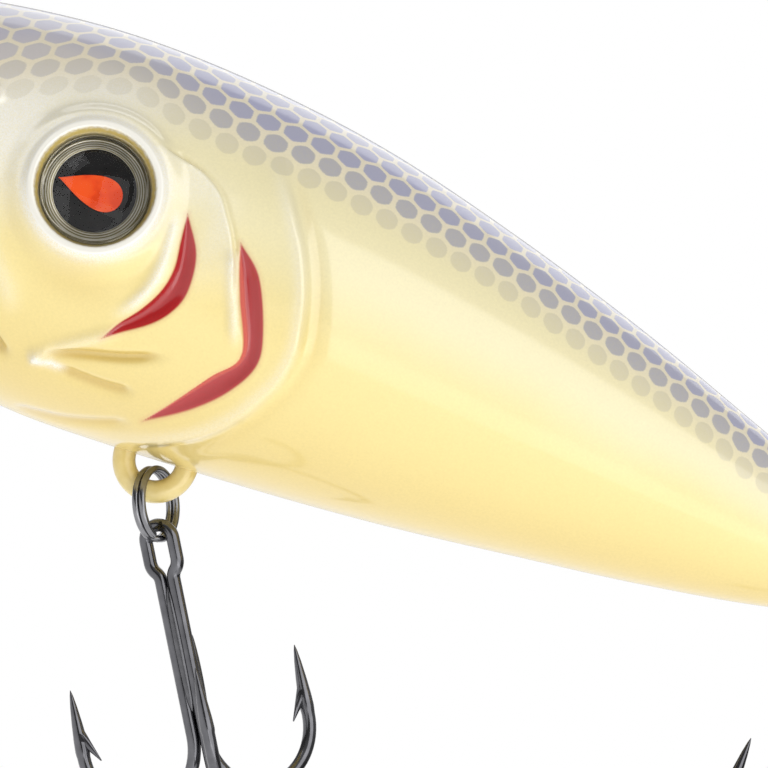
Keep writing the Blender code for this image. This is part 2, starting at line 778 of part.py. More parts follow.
def treble(prefix, frame, pivot):
    """A treble: one wire makes the eye and two hooks, and a single hook is brazed behind them."""
    eye_radius = (HOOK_EYE_WIDTH + HOOK_WIRE) / 2
    straight = HOOK_EYE_LENGTH - HOOK_EYE_WIDTH
    outline = eye_outline(eye_radius, SHANK_SPACING, HOOK_WIRE, straight, 16)
    top = eye_radius + straight / 2 + HOOK_WIRE / 2
    eye = [Vector((p.x, 0, p.y - top)) for p in outline]
    sides = {}
    for side, turn in HOOK_TURNS.items():
        toward = Vector((math.cos(turn), math.sin(turn), 0))
        offset = Vector((side * SHANK_SPACING / 2, 0, 0))
        sides[side] = (hook_path(offset, toward, -eye[0].z + HOOK_WIRE), toward)
    right, left = sides[1][0], sides[-1][0]
    path = right[::-1] + eye + left
    needle = {index % len(path): share for index, share in NEEDLE}
    needle.update({-1 - index: share for index, share in NEEDLE})
    double = solid_wire(prefix + "_double", path, HOOK_WIRE / 2, needle)
    for side, (points, toward) in sides.items():
        boolean(double, place(barb(f"{prefix}_barb_{side}", points, toward), Matrix()), "UNION")
    back = Vector((math.cos(SINGLE_TURN), math.sin(SINGLE_TURN), 0))
    groove = Vector((0, -SHANK_SPACING * math.sqrt(3) / 2, 0))
    points = hook_path(groove, back, SINGLE_START)
    last = {len(points) + index: share for index, share in NEEDLE}
    single = solid_wire(prefix + "_single", points, HOOK_WIRE / 2, last)
    boolean(single, barb(f"{prefix}_barb_back", points, back), "UNION")
    for piece in (double, single):
        bpy.context.view_layer.update()
        seen = piece.evaluated_get(bpy.context.evaluated_depsgraph_get())
        joined = bpy.data.meshes.new_from_object(seen)
        piece.modifiers.clear()
        piece.data = joined
        keep(place(smooth(piece), frame, pivot), (0.12, 0.12, 0.13), 1.0, 0.22)


def treble_frame(ring_frame, lean, turn):
    """Where a treble hangs on a ring: its Z runs up the shank, its Y is the eye's front."""
    down = lean_direction(lean)
    front = lean_side(lean) * math.cos(turn) + TOWARDS_LEFT * math.sin(turn)
    low_point = ring_frame @ Vector((RING_RADIUS, 0, 0))
    rise = RING_WIRE / 2 + HOOK_WIRE + EYE_PLAY
    return frame_of(front.cross(-down), -down, low_point - down * rise)


def tackle(prefix, eye_centre, eye_inner, leans, hook=None):
    """A split ring in an eye and, if hook is given, the treble on it."""
    ring_frame = split_ring_frame(eye_centre, eye_inner, *leans)
    swing = make_pivot(prefix + "_ring_pivot", Matrix.Translation(eye_centre))
    ring = wire(prefix + "_split_ring", split_ring_points(), RING_WIRE / 2)
    keep(place(ring, ring_frame, swing), (0.2, 0.2, 0.21), 1.0, 0.2)
    if hook:
        turn = make_pivot(prefix + "_treble_pivot", ring_frame, swing)
        treble(prefix + "_treble", treble_frame(ring_frame, *hook), turn)


end_inner = END_EYE_RADIUS - END_EYE_WIRE / 2
tackle("nose", Vector((0, 0, 0)), end_inner, (NOSE_SEAT_LEAN, NOSE_RING_LEAN, NOSE_RING_YAW))
tackle(
    "belly",
    hanger_centre(),
    HANGER_RADIUS - HANGER_WIRE / 2,
    (BELLY_SEAT_LEAN, BELLY_RING_LEAN, BELLY_RING_YAW),
    (BELLY_HOOK_LEAN, BELLY_HOOK_TURN),
)
tackle(
    "tail",
    tail_eye,
    end_inner,
    (TAIL_SEAT_LEAN, TAIL_RING_LEAN, TAIL_RING_YAW),
    (TAIL_HOOK_LEAN, TAIL_HOOK_TURN),
)
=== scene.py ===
# %% [markdown]
# # A hard-bodied swimbait
# The lure is two moulded ABS halves under pearl paint, with moulded gills, domed eyes, a painted belly
# hanger, split rings and black nickel trebles. The frame below holds each piece's place and what it moves
# with, so every piece here is made where the frame already has it.

# %% Load the frame
import json
import math

import bmesh
import bpy
import numpy as np
from mathutils import Matrix, Vector


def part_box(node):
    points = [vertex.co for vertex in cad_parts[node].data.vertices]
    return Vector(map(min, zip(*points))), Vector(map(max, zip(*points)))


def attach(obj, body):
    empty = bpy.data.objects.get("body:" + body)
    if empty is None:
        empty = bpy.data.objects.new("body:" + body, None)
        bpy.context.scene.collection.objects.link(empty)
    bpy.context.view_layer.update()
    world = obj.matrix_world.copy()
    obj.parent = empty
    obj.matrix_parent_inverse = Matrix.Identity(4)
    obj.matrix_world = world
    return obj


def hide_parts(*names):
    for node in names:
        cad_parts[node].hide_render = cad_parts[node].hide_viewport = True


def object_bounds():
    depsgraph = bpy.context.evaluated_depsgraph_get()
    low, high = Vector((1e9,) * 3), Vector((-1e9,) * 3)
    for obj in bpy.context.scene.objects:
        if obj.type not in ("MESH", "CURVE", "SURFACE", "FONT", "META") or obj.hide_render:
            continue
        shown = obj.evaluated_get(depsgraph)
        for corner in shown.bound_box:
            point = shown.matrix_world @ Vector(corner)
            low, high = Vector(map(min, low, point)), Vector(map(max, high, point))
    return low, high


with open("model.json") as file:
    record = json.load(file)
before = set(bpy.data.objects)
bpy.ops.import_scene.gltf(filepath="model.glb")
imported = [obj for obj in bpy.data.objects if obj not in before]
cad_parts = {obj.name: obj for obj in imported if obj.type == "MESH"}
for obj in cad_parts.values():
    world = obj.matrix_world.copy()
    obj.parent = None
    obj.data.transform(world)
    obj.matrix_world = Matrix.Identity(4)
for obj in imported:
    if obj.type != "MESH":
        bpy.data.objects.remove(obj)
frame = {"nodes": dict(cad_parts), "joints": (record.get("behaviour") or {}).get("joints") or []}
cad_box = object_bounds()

MM = 0.001
print("frame box in mm", [[round(v / MM, 1) for v in corner] for corner in cad_box])

# %% [markdown]
# ## Light and camera
# One large soft box stands in front on the tail's side, so that the clear coat shows a single broad band
# along the flank while the head stays matt and the lenses dark. A long lens keeps the near and far side
# the same size. A pale floor lies well below, and the far wall is bright, so that dark wire gets clean edges.

# %% Helpers for the scene
def linear(hex_text):
    """An sRGB hex colour as linear RGBA."""
    shares = [int(hex_text[i : i + 2], 16) / 255 for i in (1, 3, 5)]
    return (*[c / 12.92 if c <= 0.04045 else ((c + 0.055) / 1.055) ** 2.4 for c in shares], 1)


def add(tree, kind, links=None, **settings):
    """Add a node with its settings. links maps an input to a value or to another node's output."""
    made = tree.nodes.new(kind)
    for name, value in settings.items():
        setattr(made, name, value)
    for socket, value in (links or {}).items():
        if isinstance(value, bpy.types.NodeSocket):
            tree.links.new(value, made.inputs[socket])
        else:
            made.inputs[socket].default_value = value
    return made


def deselect():
    bpy.ops.object.select_all(action="DESELECT")


# %% Camera
TILT = math.radians(22.5)
FIELD_WIDTH = 68.57 * MM
SENSOR = 36 * MM
LENS = 0.9
AIM = Vector((56.5, 0, -1.73)) * MM

right = Vector((math.cos(TILT), 0, math.sin(TILT)))
up = Vector((-math.sin(TILT), 0, math.cos(TILT)))
back = right.cross(up)
distance = FIELD_WIDTH * LENS / SENSOR
camera_data = bpy.data.cameras.new("camera")
camera_data.lens = LENS / MM
camera_data.sensor_width = SENSOR / MM
camera_data.clip_start = 0.01
camera_data.clip_end = 20
camera = bpy.data.objects.new("camera", camera_data)
camera.matrix_world = Matrix.Translation(AIM + back * distance) @ Matrix((right, up, back)).transposed().to_4x4()
bpy.context.scene.collection.objects.link(camera)
bpy.context.scene.camera = camera
bpy.context.scene.view_settings.view_transform = "Standard"
print("camera", round(distance, 3), "m away")


# %% Lights and floor
def soft_box(name, place, size, power):
    light = bpy.data.lights.new(name, "AREA")
    light.shape = "RECTANGLE"
    light.size, light.size_y = size
    light.energy = power
    lamp = bpy.data.objects.new(name, light)
    lamp.location = place
    lamp.rotation_euler = (AIM - Vector(place)).to_track_quat("-Z", "Y").to_euler()
    lamp.visible_camera = False
    bpy.context.scene.collection.objects.link(lamp)


soft_box("key", (0.47, -0.62, 0.2), (0.8, 1.1), 4.5)
soft_box("fill", (-0.7, -0.3, 0.7), (0.5, 0.5), 1.0)
soft_box("rim", (-0.1, 0.7, 0.5), (0.9, 0.6), 1.6)

world = bpy.data.worlds.new("studio")
world.use_nodes = True
bpy.context.scene.world = world
tree = world.node_tree
direction = add(tree, "ShaderNodeSeparateXYZ", {0: add(tree, "ShaderNodeTexCoord").outputs["Generated"]})
seen_directly = add(tree, "ShaderNodeLightPath").outputs["Is Camera Ray"]


def rising(value, start, end, low, high):
    """Brightness that grows with one part of the direction looked in."""
    links = {"Value": value, "From Min": start, "From Max": end, "To Min": low, "To Max": high}
    return add(tree, "ShaderNodeMapRange", links).outputs[0]


ceiling = rising(direction.outputs["Z"], 0.1, 0.7, 0.12, 0.42)
wall = rising(direction.outputs["Y"], 0.75, 0.95, 0.0, 0.5)
brighter = add(tree, "ShaderNodeMath", {0: ceiling, 1: wall}, operation="MAXIMUM").outputs[0]
strength = add(tree, "ShaderNodeMath", {0: brighter, 1: seen_directly}, operation="MAXIMUM").outputs[0]
tree.links.new(strength, tree.nodes["Background"].inputs["Strength"])
tree.nodes["Background"].inputs["Color"].default_value = linear("#FFFFFF")

FLOOR_DROP = 0.3
deselect()
bpy.ops.mesh.primitive_plane_add(size=8, location=(0, 0, cad_box[0][2] - FLOOR_DROP))
floor = bpy.context.active_object
floor.name = "floor"
white_card = bpy.data.materials.new("white_paper")
white_card.use_nodes = True
paper = white_card.node_tree.nodes["Principled BSDF"]
paper.inputs["Base Color"].default_value = linear("#F4F4F4")
paper.inputs["Roughness"].default_value = 1.0
paper.inputs["Emission Color"].default_value = linear("#FFFFFF")
paper.inputs["Emission Strength"].default_value = 0.5
floor.data.materials.append(white_card)

# %% [markdown]
# ## The body's shape
# The mould's outline is drawn as a fish seen from the side: one curve for the back, one for the belly,
# each through a few stations, with rounded ends. Every cross-section is an oval between them. Writing the
# surface as a formula lets one dense grid be laid over it, which a subdivided box could not give as evenly.

# %% Body outline
low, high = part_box("body_left")
BODY_LENGTH = 101 * MM
BODY_HEIGHT = 35.2 * MM
BODY_WIDTH = 33 * MM
NOSE_X = low.x
TAIL_X = NOSE_X + BODY_LENGTH
NOSE_HEIGHT = 0.5 * MM
ENDS = {"brow": (9.5 * MM, 3), "chin": (21 * MM, 2.5), "nose_side": (13.3 * MM, 2.6), "tail": (3 * MM, 2)}
BACK = [
    (0.0, 0.4), (0.086, 0.474), (0.201, 0.526), (0.322, 0.533), (0.449, 0.503),
    (0.582, 0.429), (0.718, 0.33), (0.857, 0.207), (1.0, 0.073),
]
BELLY = [
    (0.0, -0.42), (0.221, -0.472), (0.312, -0.462), (0.459, -0.423), (0.576, -0.381),
    (0.691, -0.327), (0.804, -0.27), (0.916, -0.199), (1.0, -0.118),
]


def through(stations, share):
    """A smooth curve through stations, with each one's slope taken from its neighbours."""
    places, values = np.array(stations).T
    last = len(places) - 1
    i = np.clip(np.searchsorted(places, share, side="right") - 1, 0, last - 1)
    before, after = np.maximum(i - 1, 0), np.minimum(i + 2, last)
    slope0 = (values[i + 1] - values[before]) / (places[i + 1] - places[before])
    slope1 = (values[after] - values[i]) / (places[after] - places[i])
    span = places[i + 1] - places[i]
    t = (share - places[i]) / span
    return (
        (2 * t**3 - 3 * t**2 + 1) * values[i]
        + (t**3 - 2 * t**2 + t) * span * slope0
        + (3 * t**2 - 2 * t**3) * values[i + 1]
        + (t**3 - t**2) * span * slope1
    )


def rounded_end(distance, end):
    """How far a section has grown at a distance from the body's end."""
    reach, power = ENDS[end]
    left = 1 - np.clip(distance, 0, reach) / reach
    return (1 - left**power) ** (1 / power)


def section(x, inset=0.0):
    """(middle height, half height, half width) at x, of the skin or of a surface inside it."""
    share = np.clip((x - NOSE_X) / BODY_LENGTH, 0, 1)
    upper = through(BACK, share) * BODY_HEIGHT - inset
    lower = through(BELLY, share) * BODY_HEIGHT + inset
    width = ((upper - lower) / 2 + inset) * BODY_WIDTH / BODY_HEIGHT - inset
    head, tail = x - NOSE_X - inset, TAIL_X - inset - x
    end = rounded_end(tail, "tail")
    upper = NOSE_HEIGHT + (upper - NOSE_HEIGHT) * rounded_end(head, "brow")
    lower = NOSE_HEIGHT + (lower - NOSE_HEIGHT) * rounded_end(head, "chin")
    width = width * rounded_end(head, "nose_side")
    return (upper + lower) / 2, (upper - lower) / 2 * end, width * end


# %% [markdown]
# ## Where the eye sits
# The moulded socket, the gill cuts and the cheek are all set out from the eye, as a sculptor would mark
# them. The eye faces a little up and forward with the skin, so its own axes are measured on the surface.

# %% Eye axes
EYE_SHARE = 0.2277
EYE_LIFT = math.radians(11.3)
EYE_RADIUS = 4.85 * MM


def skin_point(x, angle):
    middle, half, width = section(x)
    return Vector((x, -float(width) * math.cos(angle), float(middle) + float(half) * math.sin(angle)))


eye_x = NOSE_X + EYE_SHARE * BODY_LENGTH
eye_centre = skin_point(eye_x, EYE_LIFT)
eye_tailward = (skin_point(eye_x + 0.5 * MM, EYE_LIFT) - skin_point(eye_x - 0.5 * MM, EYE_LIFT)).normalized()
eye_upward = (skin_point(eye_x, EYE_LIFT + 0.02) - skin_point(eye_x, EYE_LIFT - 0.02)).normalized()
eye_out = eye_upward.cross(eye_tailward).normalized()
if eye_out.y > 0:
    eye_out.negate()
eye_tailward = eye_tailward.normalized()
EYE_FRAME = Matrix.Translation(eye_centre) @ Matrix(
    (eye_tailward, eye_out.cross(eye_tailward), eye_out)
).transposed().to_4x4()
print("eye middle in mm", [round(v / MM, 2) for v in eye_centre], "facing", [round(v, 2) for v in eye_out])

# %% [markdown]
# ## Gills and cheek
# The mould has two blood-red gill cuts, a thin line where the first gill plate lies on the next, the gill
# cover's outer edge, and a few folds by the jaw. Each is a line on the side of the head, in millimetres
# tailwards and up from the eye's middle. The skin's height near it follows from the distance to the line.

# %% Lines on the head
COVER_EDGE = [
    (13.1, 9.8), (15.0, 7.3), (17.1, 4.5), (18.9, 2.0), (20.4, -0.8), (21.4, -3.6), (22.0, -6.5),
    (21.8, -9.1), (21.1, -10.9), (19.5, -13.8), (17.0, -16.5), (14.0, -18.4), (10.9, -19.8), (9.0, -20.4),
]
PLATE_EDGE = [(3.8, 5.9), (4.5, 5.4), (6.2, 5.2), (8.3, 4.8), (10.3, 3.7), (11.6, 2.2), (12.9, 0.4), (13.9, -1.7), (14.6, -3.6), (15.2, -5.0)]
FIRST_CUT = {
    "head_side": [(8.4, 1.1), (8.8, -1.4), (9.2, -3.9), (8.9, -6.1), (7.9, -8.3), (6.5, -10.3), (5.5, -12.0)],
    "tail_side": [(8.4, 1.1), (10.5, -1.9), (11.1, -5.1), (10.6, -7.3), (9.0, -9.4), (5.5, -12.0)],
}
SECOND_CUT = {
    "head_side": [(13.7, 0.5), (14.5, -1.7), (15.6, -4.2), (17.6, -8.7), (15.8, -11.5), (13.5, -14.9), (11.6, -17.4)],
    "tail_side": [(13.7, 0.5), (16.4, -1.7), (18.6, -6.0), (19.2, -9.0), (17.8, -12.0), (15.3, -14.7), (11.6, -17.4)],
}
FIRST_LIP = [(7.4, 1.6), (7.8, -1.0), (8.1, -3.9), (7.9, -6.1), (6.9, -8.4), (5.4, -10.4)]
SECOND_LIP = [(13.2, 0.0), (14.4, -3.0), (15.8, -6.0), (17.0, -8.7)]
CHEEK_FOLD = [(-0.2, -16.0), (0.9, -15.5), (2.9, -13.8), (5.6, -11.8), (7.4, -10.2)]
UPPER_FOLD = [(1.4, -15.3), (2.6, -14.7), (4.5, -14.1), (8.2, -12.9), (12.3, -11.0)]
LOWER_FOLD = [(0.8, -16.0), (4.2, -16.0), (7.4, -15.9), (10.4, -15.4)]
CHEEK_POINT = [(0.3, -15.8), (1.6, -15.9), (4.2, -15.9)]
THROAT_LINE = [(0.0, -20.9), (2.9, -20.5), (5.5, -20.0), (8.7, -18.9), (11.0, -17.8)]
MOUTH_LINE = [(-1.2, -16.9), (-3.6, -15.6), (-7.0, -12.2), (-11.0, -8.6), (-15.5, -6.2), (-20.4, -5.4)]
LIP_PLATE = [(-2.0, -13.4), (-4.6, -10.4), (-8.4, -7.2), (-12.6, -4.8), (-17.0, -3.4)]
NOSTRIL = (-12.0, 4.4)


def drawn(points, steps=10):
    """A smooth line through points, as an array of places."""
    points = np.array(points, float)
    padded = np.vstack([2 * points[0] - points[1], points, 2 * points[-1] - points[-2]])
    line = []
    for a, b, c, d in zip(padded, padded[1:], padded[2:], padded[3:]):
        for t in np.linspace(0, 1, steps, endpoint=False):
            line.append(
                0.5 * (2 * b + (c - a) * t + (2 * a - 5 * b + 4 * c - d) * t**2 + (3 * b - a - 3 * c + d) * t**3)
            )
    return np.array(line + [points[-1]])


def measure(line, x, z):
    """Each place's distance from a line, its side (+1 on the left going along) and how far along it lies."""
    best = np.full(x.shape, 1e9)
    side = np.ones(x.shape)
    along = np.zeros(x.shape)
    for i, ((ax, az), (bx, bz)) in enumerate(zip(line, line[1:])):
        dx, dz = bx - ax, bz - az
        t = np.clip(((x - ax) * dx + (z - az) * dz) / (dx * dx + dz * dz), 0, 1)
        away = np.hypot(x - ax - t * dx, z - az - t * dz)
        nearer = away < best
        best[nearer] = away[nearer]
        side[nearer] = np.sign(dx * (z - az) - dz * (x - ax))[nearer]
        along[nearer] = ((i + t) / (len(line) - 1))[nearer]
    return best, side, along


def step(value, start, end):
    """0 before start, 1 after end, and smooth between."""
    t = np.clip((value - start) / (end - start), 0, 1)
    return t * t * (3 - 2 * t)


def faded(along, first, last):
    """1 along a line, falling to 0 over the first and last shares of it."""
    return step(along, 0, first) * (1 - step(along, 1 - last, 1))


def hump(distance, width):
    return np.exp(-((distance / width) ** 2))


# %% Height of the head's relief
def cut(lines, x, z):
    """Signed distance from a gill cut's outline (negative inside), and where a place lies across it."""
    head, tail = drawn(lines["head_side"]), drawn(lines["tail_side"])
    to_head, _, _ = measure(head, x, z)
    to_tail, _, _ = measure(tail, x, z)
    inside = np.zeros(x.shape, bool)
    outline = np.vstack([head, tail[::-1]])
    for (ax, az), (bx, bz) in zip(outline, outline[1:]):
        if az == bz:
            continue
        crossed = ((az > z) != (bz > z)) & (x < ax + (z - az) * (bx - ax) / (bz - az))
        inside ^= crossed
    edge = np.minimum(to_head, to_tail)
    return np.where(inside, -edge, edge), to_head / np.maximum(to_head + to_tail, 1e-6), to_head + to_tail


DEEPEST = 0.75


def relief(x, z):
    """The skin's added height in mm, the distance to a cut, the place across it, and the pearl overspray with painted
    highlights along the ridges and edges.
    """
    height = np.zeros(x.shape)
    pearl_and_ridge_highlight = np.zeros(x.shape)

    away, side, along = measure(drawn(COVER_EDGE), x, z)
    inward = -side * away
    held = faded(along, 0.16, 0.2)
    height += held * 0.62 * step(inward, -0.75, 0.35) * np.exp(-np.clip(inward - 0.35, 0, None) / 2.6)
    height -= held * 0.16 * hump(inward + 1.3, 0.8)
    # a painted highlight along the inside of the cover's edge, kept with the pearl mist
    pearl_and_ridge_highlight += held * 0.35 * hump(inward - 0.5, 0.6)

    away, side, along = measure(drawn(PLATE_EDGE), x, z)
    inward = -side * away
    held = faded(along, 0.12, 0.3)
    height += held * 0.4 * step(inward, -0.2, 0.12) * np.exp(-np.clip(inward - 0.12, 0, None) / 2.0)
    height -= held * 0.16 * hump(inward + 0.32, 0.16)
    # a painted highlight on the plate's raised edge, kept with the pearl mist
    pearl_and_ridge_highlight += held * 0.4 * step(inward, -0.1, 0.2) * np.exp(-np.clip(inward - 0.2, 0, None) / 0.9)

    # each ridge is raised and gets a painted highlight along its crest, kept with the pearl mist
    for line, rise, width, amount in (
        (FIRST_LIP, 0.42, 0.65, 0.85),
        (SECOND_LIP, 0.42, 0.6, 0.55),
        (CHEEK_FOLD, 0.46, 0.65, 0.3),
        (CHEEK_POINT, 0.34, 0.5, 1.0),
        (LIP_PLATE, 0.3, 1.1, 0.3),
    ):
        away, _, along = measure(drawn(line), x, z)
        held = faded(along, 0.2, 0.3)
        height += held * rise * hump(away, width)
        pearl_and_ridge_highlight += held * amount * hump(away, width * 0.8)

    for line, depth, width in (
        (UPPER_FOLD, 0.62, 0.5),
        (LOWER_FOLD, 0.5, 0.45),
        (THROAT_LINE, 0.34, 0.4),
        (MOUTH_LINE, 0.75, 0.5),
    ):
        away, _, along = measure(drawn(line), x, z)
        height -= faded(along, 0.15, 0.2) * depth * hump(away, width)

    dent = np.hypot((x - 1.5) / 5.5, (z + 8.2) / 3.2)
    height -= 0.22 * hump(dent, 1.0)

    nostril = np.hypot(x - NOSTRIL[0], (z - NOSTRIL[1]) * 1.5)
    height += 0.25 * hump(nostril - 1.1, 0.45) - 0.45 * hump(nostril, 0.6)

    gash = np.full(x.shape, 9.0)
    across = np.zeros(x.shape)
    for lines in (FIRST_CUT, SECOND_CUT):
        edge, place, width = cut(lines, x, z)
        depth = np.minimum(0.36 * width, 0.62) * np.sin(math.pi * np.clip(place, 0, 1) ** DEEPEST)
        height -= np.where(edge < 0, depth, 0)
        if lines is FIRST_CUT:
            place = 0.5 + place / 2
        nearer = edge < gash
        gash[nearer] = edge[nearer]
        across[nearer] = place[nearer]

    for cx, cz, rx, rz, amount in (
        (-10.5, 6.0, 7.0, 5.5, 1.0), (-2.0, 9.4, 8.0, 2.6, 0.9), (-9.5, -1.5, 3.5, 6.0, 0.7),
        (8.0, 3.2, 2.6, 1.8, 0.4), (11.4, -0.6, 1.4, 3.4, 0.3), (-16.0, 2.0, 5.0, 4.0, 0.7),
    ):
        pearl_and_ridge_highlight += amount * np.exp(-(((x - cx) / rx) ** 2) - ((z - cz) / rz) ** 2)
    return height, gash, across, np.clip(pearl_and_ridge_highlight, 0, 1)


# %% [markdown]
# ## Moulding one half
# A grid is laid over the side from the back's seam to the belly's, closer together on the head, where the
# relief is. A second, coarser grid is the hollow's wall, and the two are bridged along the seam, so the
# half is a closed shell that glues flat against its twin. The grid's own rows carry the scale paint: each
# point keeps how many scales it lies along the body and how many rows down from the back.

# %% Build the left half
WALL = 1.8 * MM
SEAM = 0.03 * MM
SOCKET_EDGE = 5.78 * MM
SOCKET_RISE = 0.765 * MM
RIM_FALL = 0.6 * MM
SOCKET_FLOOR = -3.5 * MM
RIM_FOOT = 6.75 * MM
SOCKET_SPREAD = 8.6 * MM
SCALE_PITCH = 2.7 * MM
ROW_PITCH = 2.42 * MM
TAIL_SCALE = 0.86
ROWS = 6
# the lowest row's line, from the eye's middle like the gills
LOWEST_ROW = [
    (-22.9, -1.0), (-16.0, 2.4), (-9.6, 5.6), (-4.5, 8.2), (-0.2, 9.4), (5.0, 8.6), (10.6, 8.1), (19.2, 8.0), (34.5, 6.1),
    (43.0, 4.3), (57.9, 0.8), (64.6, -1.3), (78.0, -3.0),
]


def even_stations(count):
    """Places along the body, closest on the head and drawn together at both ends."""
    fine = np.linspace(0, BODY_LENGTH, 4001)
    head = 1 - 0.78 * step(fine, 44 * MM, 52 * MM)
    ends = 0.15 / np.sqrt(fine / MM + 0.02) + 0.15 / np.sqrt((BODY_LENGTH - fine) / MM + 0.02)
    total = np.concatenate([[0], np.cumsum((head + ends)[1:] + (head + ends)[:-1])])
    return NOSE_X + np.interp(np.linspace(0, total[-1], count), total, fine)


def grid(name, columns, rows):
    deselect()
    bpy.ops.mesh.primitive_grid_add(x_subdivisions=columns - 1, y_subdivisions=rows - 1, size=2)
    piece = bpy.context.active_object
    piece.name = name
    return piece


def laid(columns, rows, inset):
    """The surface's points, rows from the back's seam down to the belly's, columns from nose to tail."""
    x = even_stations(columns) if inset == 0 else NOSE_X + inset + (BODY_LENGTH - 2 * inset) * (
        (1 - np.cos(np.linspace(0, math.pi, columns))) / 2
    )
    middle, half, width = section(x, inset)
    fine = np.linspace(math.pi / 2, -math.pi / 2, 2001)
    weight = 1 if inset else 1 + 0.9 * step(fine, -1.4, -1.2) * (1 - step(fine, 0.5, 0.8))
    total = np.concatenate([[0], np.cumsum((weight + 0 * fine)[1:])])
    angle = np.interp(np.linspace(0, total[-1], rows), total, fine)[:, None]
    points = np.empty((rows, columns, 3))
    points[..., 0] = x
    points[..., 1] = -width * np.cos(angle)
    points[..., 2] = middle + half * np.sin(angle)
    return points


def outward(points):
    """Each point's normal, from its neighbours on the grid."""
    tailward = np.gradient(points, axis=1)
    downward = np.gradient(points, axis=0)
    normal = np.cross(downward, tailward)
    normal /= np.maximum(np.linalg.norm(normal, axis=2, keepdims=True), 1e-12)
    flip = np.where(normal[..., 1:2] > 0, -1, 1)
    return normal * flip


def socketed(points, floor, spread, rise):
    """Raise the skin to the eye socket's rim and drop it under the socket's cup."""
    axis, origin = np.array(eye_out), np.array(eye_centre)
    offset = points - origin
    above = offset @ axis
    radius = np.linalg.norm(offset - above[..., None] * axis, axis=2)
    near = (above > -8 * MM) & (radius < spread)
    blend = 1 - step(radius, RIM_FOOT, spread)
    shoulder = rise - RIM_FALL * step(radius, SOCKET_EDGE + 0.12 * MM, RIM_FOOT)
    lifted = points + axis * ((shoulder - above) * blend**1.6)[..., None]
    sunk = points + axis * (floor - above)[..., None]
    dive = (1 - step(radius, SOCKET_EDGE - 0.25 * MM, SOCKET_EDGE))[..., None]
    return np.where(near[..., None], lifted * (1 - dive) + sunk * dive, points), radius


columns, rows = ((380, 244))
skin = laid(columns, rows, 0.0)
skin_normal = outward(skin)
side_x = (skin[..., 0] - eye_centre.x) / MM
side_z = (skin[..., 2] - eye_centre.z) / MM
height, gash, across, pearl_and_ridge_highlight = relief(side_x, side_z)
on_side = step(np.abs(skin[..., 1]), 0.1 * MM, 1.5 * MM)
skin = skin + skin_normal * (height * on_side * MM)[..., None]
skin, eye_distance = socketed(skin, SOCKET_FLOOR, SOCKET_SPREAD, SOCKET_RISE)
pearl_and_ridge_highlight = np.clip(pearl_and_ridge_highlight + 1.1 * hump(eye_distance / MM - 5.9, 0.85), 0, 1)
skin[0, :, 1] = skin[-1, :, 1] = -SEAM / 2
skin[:, 0, 1] = np.minimum(skin[:, 0, 1], -SEAM / 2)

hollow = laid(60, 32, WALL)
hollow, _ = socketed(hollow, SOCKET_FLOOR - WALL, 8.2 * MM, -WALL)
hollow[0, :, 1] = hollow[-1, :, 1] = -SEAM / 2
print("skin", skin.shape, "deepest relief", round(float(height.min()), 2), "mm")


# %% Turn the grids into a shell
def as_mesh(name, points):
    piece = grid(name, points.shape[1], points.shape[0])
    piece.data.vertices.foreach_set("co", points.reshape(-1))
    piece.data.update()
    return piece


outer = as_mesh("left_half", skin)
for label, values in (("gash", gash), ("across", across), ("pearl_and_ridge_highlight", pearl_and_ridge_highlight), ("relief", height)):
    layer = outer.data.attributes.new(label, "FLOAT", "POINT")
    layer.data.foreach_set("value", np.ascontiguousarray(values.reshape(-1), dtype=np.float32))

base = laid(columns, rows, 0.0)
upper_row = rows // 5
steps_along = np.linalg.norm(np.diff(base[upper_row], axis=0), axis=1)
drop = np.vstack([np.zeros((1, columns)), np.cumsum(np.linalg.norm(np.diff(base, axis=0), axis=2), axis=0)])
shrink = 1 + (TAIL_SCALE - 1) * step((base[0, :, 0] - NOSE_X) / BODY_LENGTH, 0.2, 0.9)
line_x, line_z = drawn(LOWEST_ROW).T
lowest = np.interp((base[0, :, 0] - eye_centre.x) / MM, line_x, line_z) * MM + eye_centre.z
lowest_drop = np.array([np.interp(-z, -base[:, i, 2], drop[:, i]) for i, z in enumerate(lowest)])
cells = np.empty((rows, columns, 2))
cells[..., 0] = np.concatenate([[0], np.cumsum(steps_along / (SCALE_PITCH * shrink[1:]))])
cells[..., 1] = ROWS + (drop - lowest_drop) / (ROW_PITCH * shrink)
climb = np.broadcast_to(np.linspace(1, -1, rows)[:, None], (rows, columns))
layer = outer.data.attributes.new("climb", "FLOAT", "POINT")
layer.data.foreach_set("value", np.ascontiguousarray(climb.reshape(-1), dtype=np.float32))
scale_map = outer.data.uv_layers[0]
scale_map.name = "scales"
corner_vertex = np.empty(len(outer.data.loops), np.int32)
outer.data.loops.foreach_get("vertex_index", corner_vertex)
scale_map.data.foreach_set("uv", cells.reshape(-1, 2)[corner_vertex].astype(np.float32).reshape(-1))

inner = as_mesh("left_hollow", hollow)
inner.data.uv_layers[0].name = "scales"


def facing(piece, outwards):
    """Make a half's sheet face away from the body's middle, or towards it."""
    bm = bmesh.new()
    bm.from_mesh(piece.data)
    bmesh.ops.remove_doubles(bm, verts=bm.verts, dist=0.0001 * MM)
    bm.normal_update()
    turned_away = sum(face.normal.y * face.calc_area() for face in bm.faces) < 0
    if turned_away != outwards:
        bmesh.ops.reverse_faces(bm, faces=bm.faces)
    bm.to_mesh(piece.data)
    bm.free()


